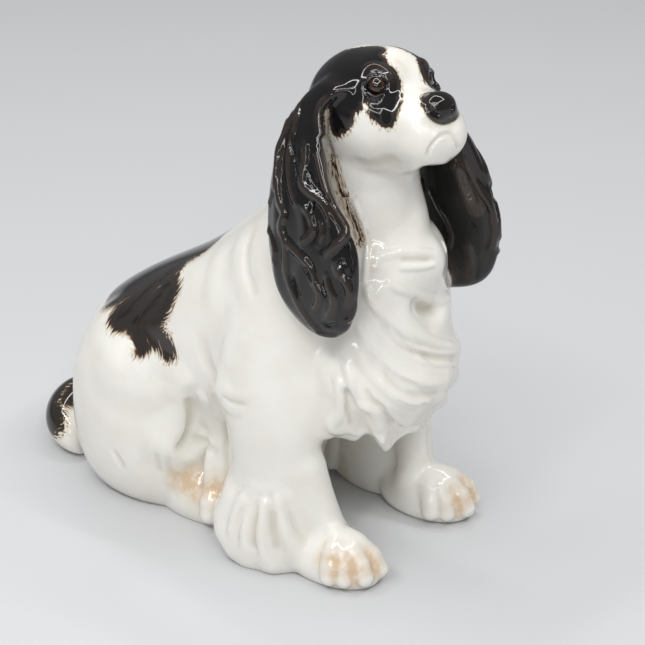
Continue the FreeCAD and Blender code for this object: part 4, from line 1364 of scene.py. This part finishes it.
# Floor, light and camera, in metres. Each frame is four strips of light round an open middle, as
# the bright outlines in the glaze show.
studio = {
    "floorReach": 8.0,
    "grey": (0.62, 0.625, 0.635),
    "floorRoughness": 0.9,
    "floorSpecular": 0.1,
    "sky": (0.9, 0.92, 0.95),
    "worldLevel": 0.25,
    "aim": (0, 0, 0.1),
    "strip": 0.07,
    "frames": {
        "overhead frame": {"at": (-0.15, -0.1, 1.05), "half": 0.55, "power": 4.2},
        "side frame": {"at": (-1.0, -0.55, 0.95), "half": 0.42, "power": 1.6},
    },
}


def makeFloor():
    mesh = bpy.data.meshes.new("floor")
    reach = studio["floorReach"]
    corners = [(-reach, -reach, 0), (reach, -reach, 0), (reach, reach, 0), (-reach, reach, 0)]
    mesh.from_pydata(corners, [], [(0, 1, 2, 3)])
    floor = bpy.data.objects.new("floor", mesh)
    bpy.context.collection.objects.link(floor)
    material = bpy.data.materials.new("studio grey")
    material.use_nodes = True
    shader = material.node_tree.nodes["Principled BSDF"]
    shader.inputs["Base Color"].default_value = (*studio["grey"], 1)
    shader.inputs["Roughness"].default_value = studio["floorRoughness"]
    shader.inputs["Specular IOR Level"].default_value = studio["floorSpecular"]
    mesh.materials.append(material)


def makeLamp(name, place, across, ahead, size, power):
    light = bpy.data.lights.new(name, "AREA")
    light.shape = "RECTANGLE"
    light.size, light.size_y = size[0], size[1]
    light.energy = power
    lamp = bpy.data.objects.new(name, light)
    bpy.context.collection.objects.link(lamp)
    lamp.location = place
    lamp.rotation_mode = "QUATERNION"
    lamp.rotation_quaternion = Matrix((across, across.cross(ahead), -ahead)).transposed().to_quaternion()


def makeCamera():
    lens = bpy.data.cameras.new("camera")
    lens.sensor_width = view["sensorWidth"]
    lens.lens = view["focalShare"] * view["distance"] * view["sensorWidth"] / view["imageWidth"]
    lens.clip_start = view["clipStart"]
    camera = bpy.data.objects.new("camera", lens)
    bpy.context.collection.objects.link(camera)
    camera.location = Vector(viewEye) * mm
    camera.rotation_mode = "QUATERNION"
    camera.rotation_quaternion = Vector(-viewBack).to_track_quat("-Z", "Y")
    bpy.context.scene.camera = camera


makeFloor()
for label, box in studio["frames"].items():
    middle = Vector(box["at"])
    toFigure = (Vector(studio["aim"]) - middle).normalized()
    beside = toFigure.cross(Vector((0, 1, 0))).normalized()
    above = beside.cross(toFigure)
    for number, step in enumerate((beside, -beside, above, -above)):
        place = middle + step * box["half"]
        size = (studio["strip"], 2 * box["half"])
        makeLamp("%s %d" % (label, number + 1), place, step, toFigure, size, box["power"])
makeCamera()
world = bpy.data.worlds.new("studio")
world.use_nodes = True
sky = world.node_tree.nodes["Background"]
sky.inputs["Color"].default_value = (*studio["sky"], 1)
sky.inputs["Strength"].default_value = studio["worldLevel"]
bpy.context.scene.world = world
bpy.context.scene.view_settings.view_transform = "Standard"

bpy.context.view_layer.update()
stage("scene ready")
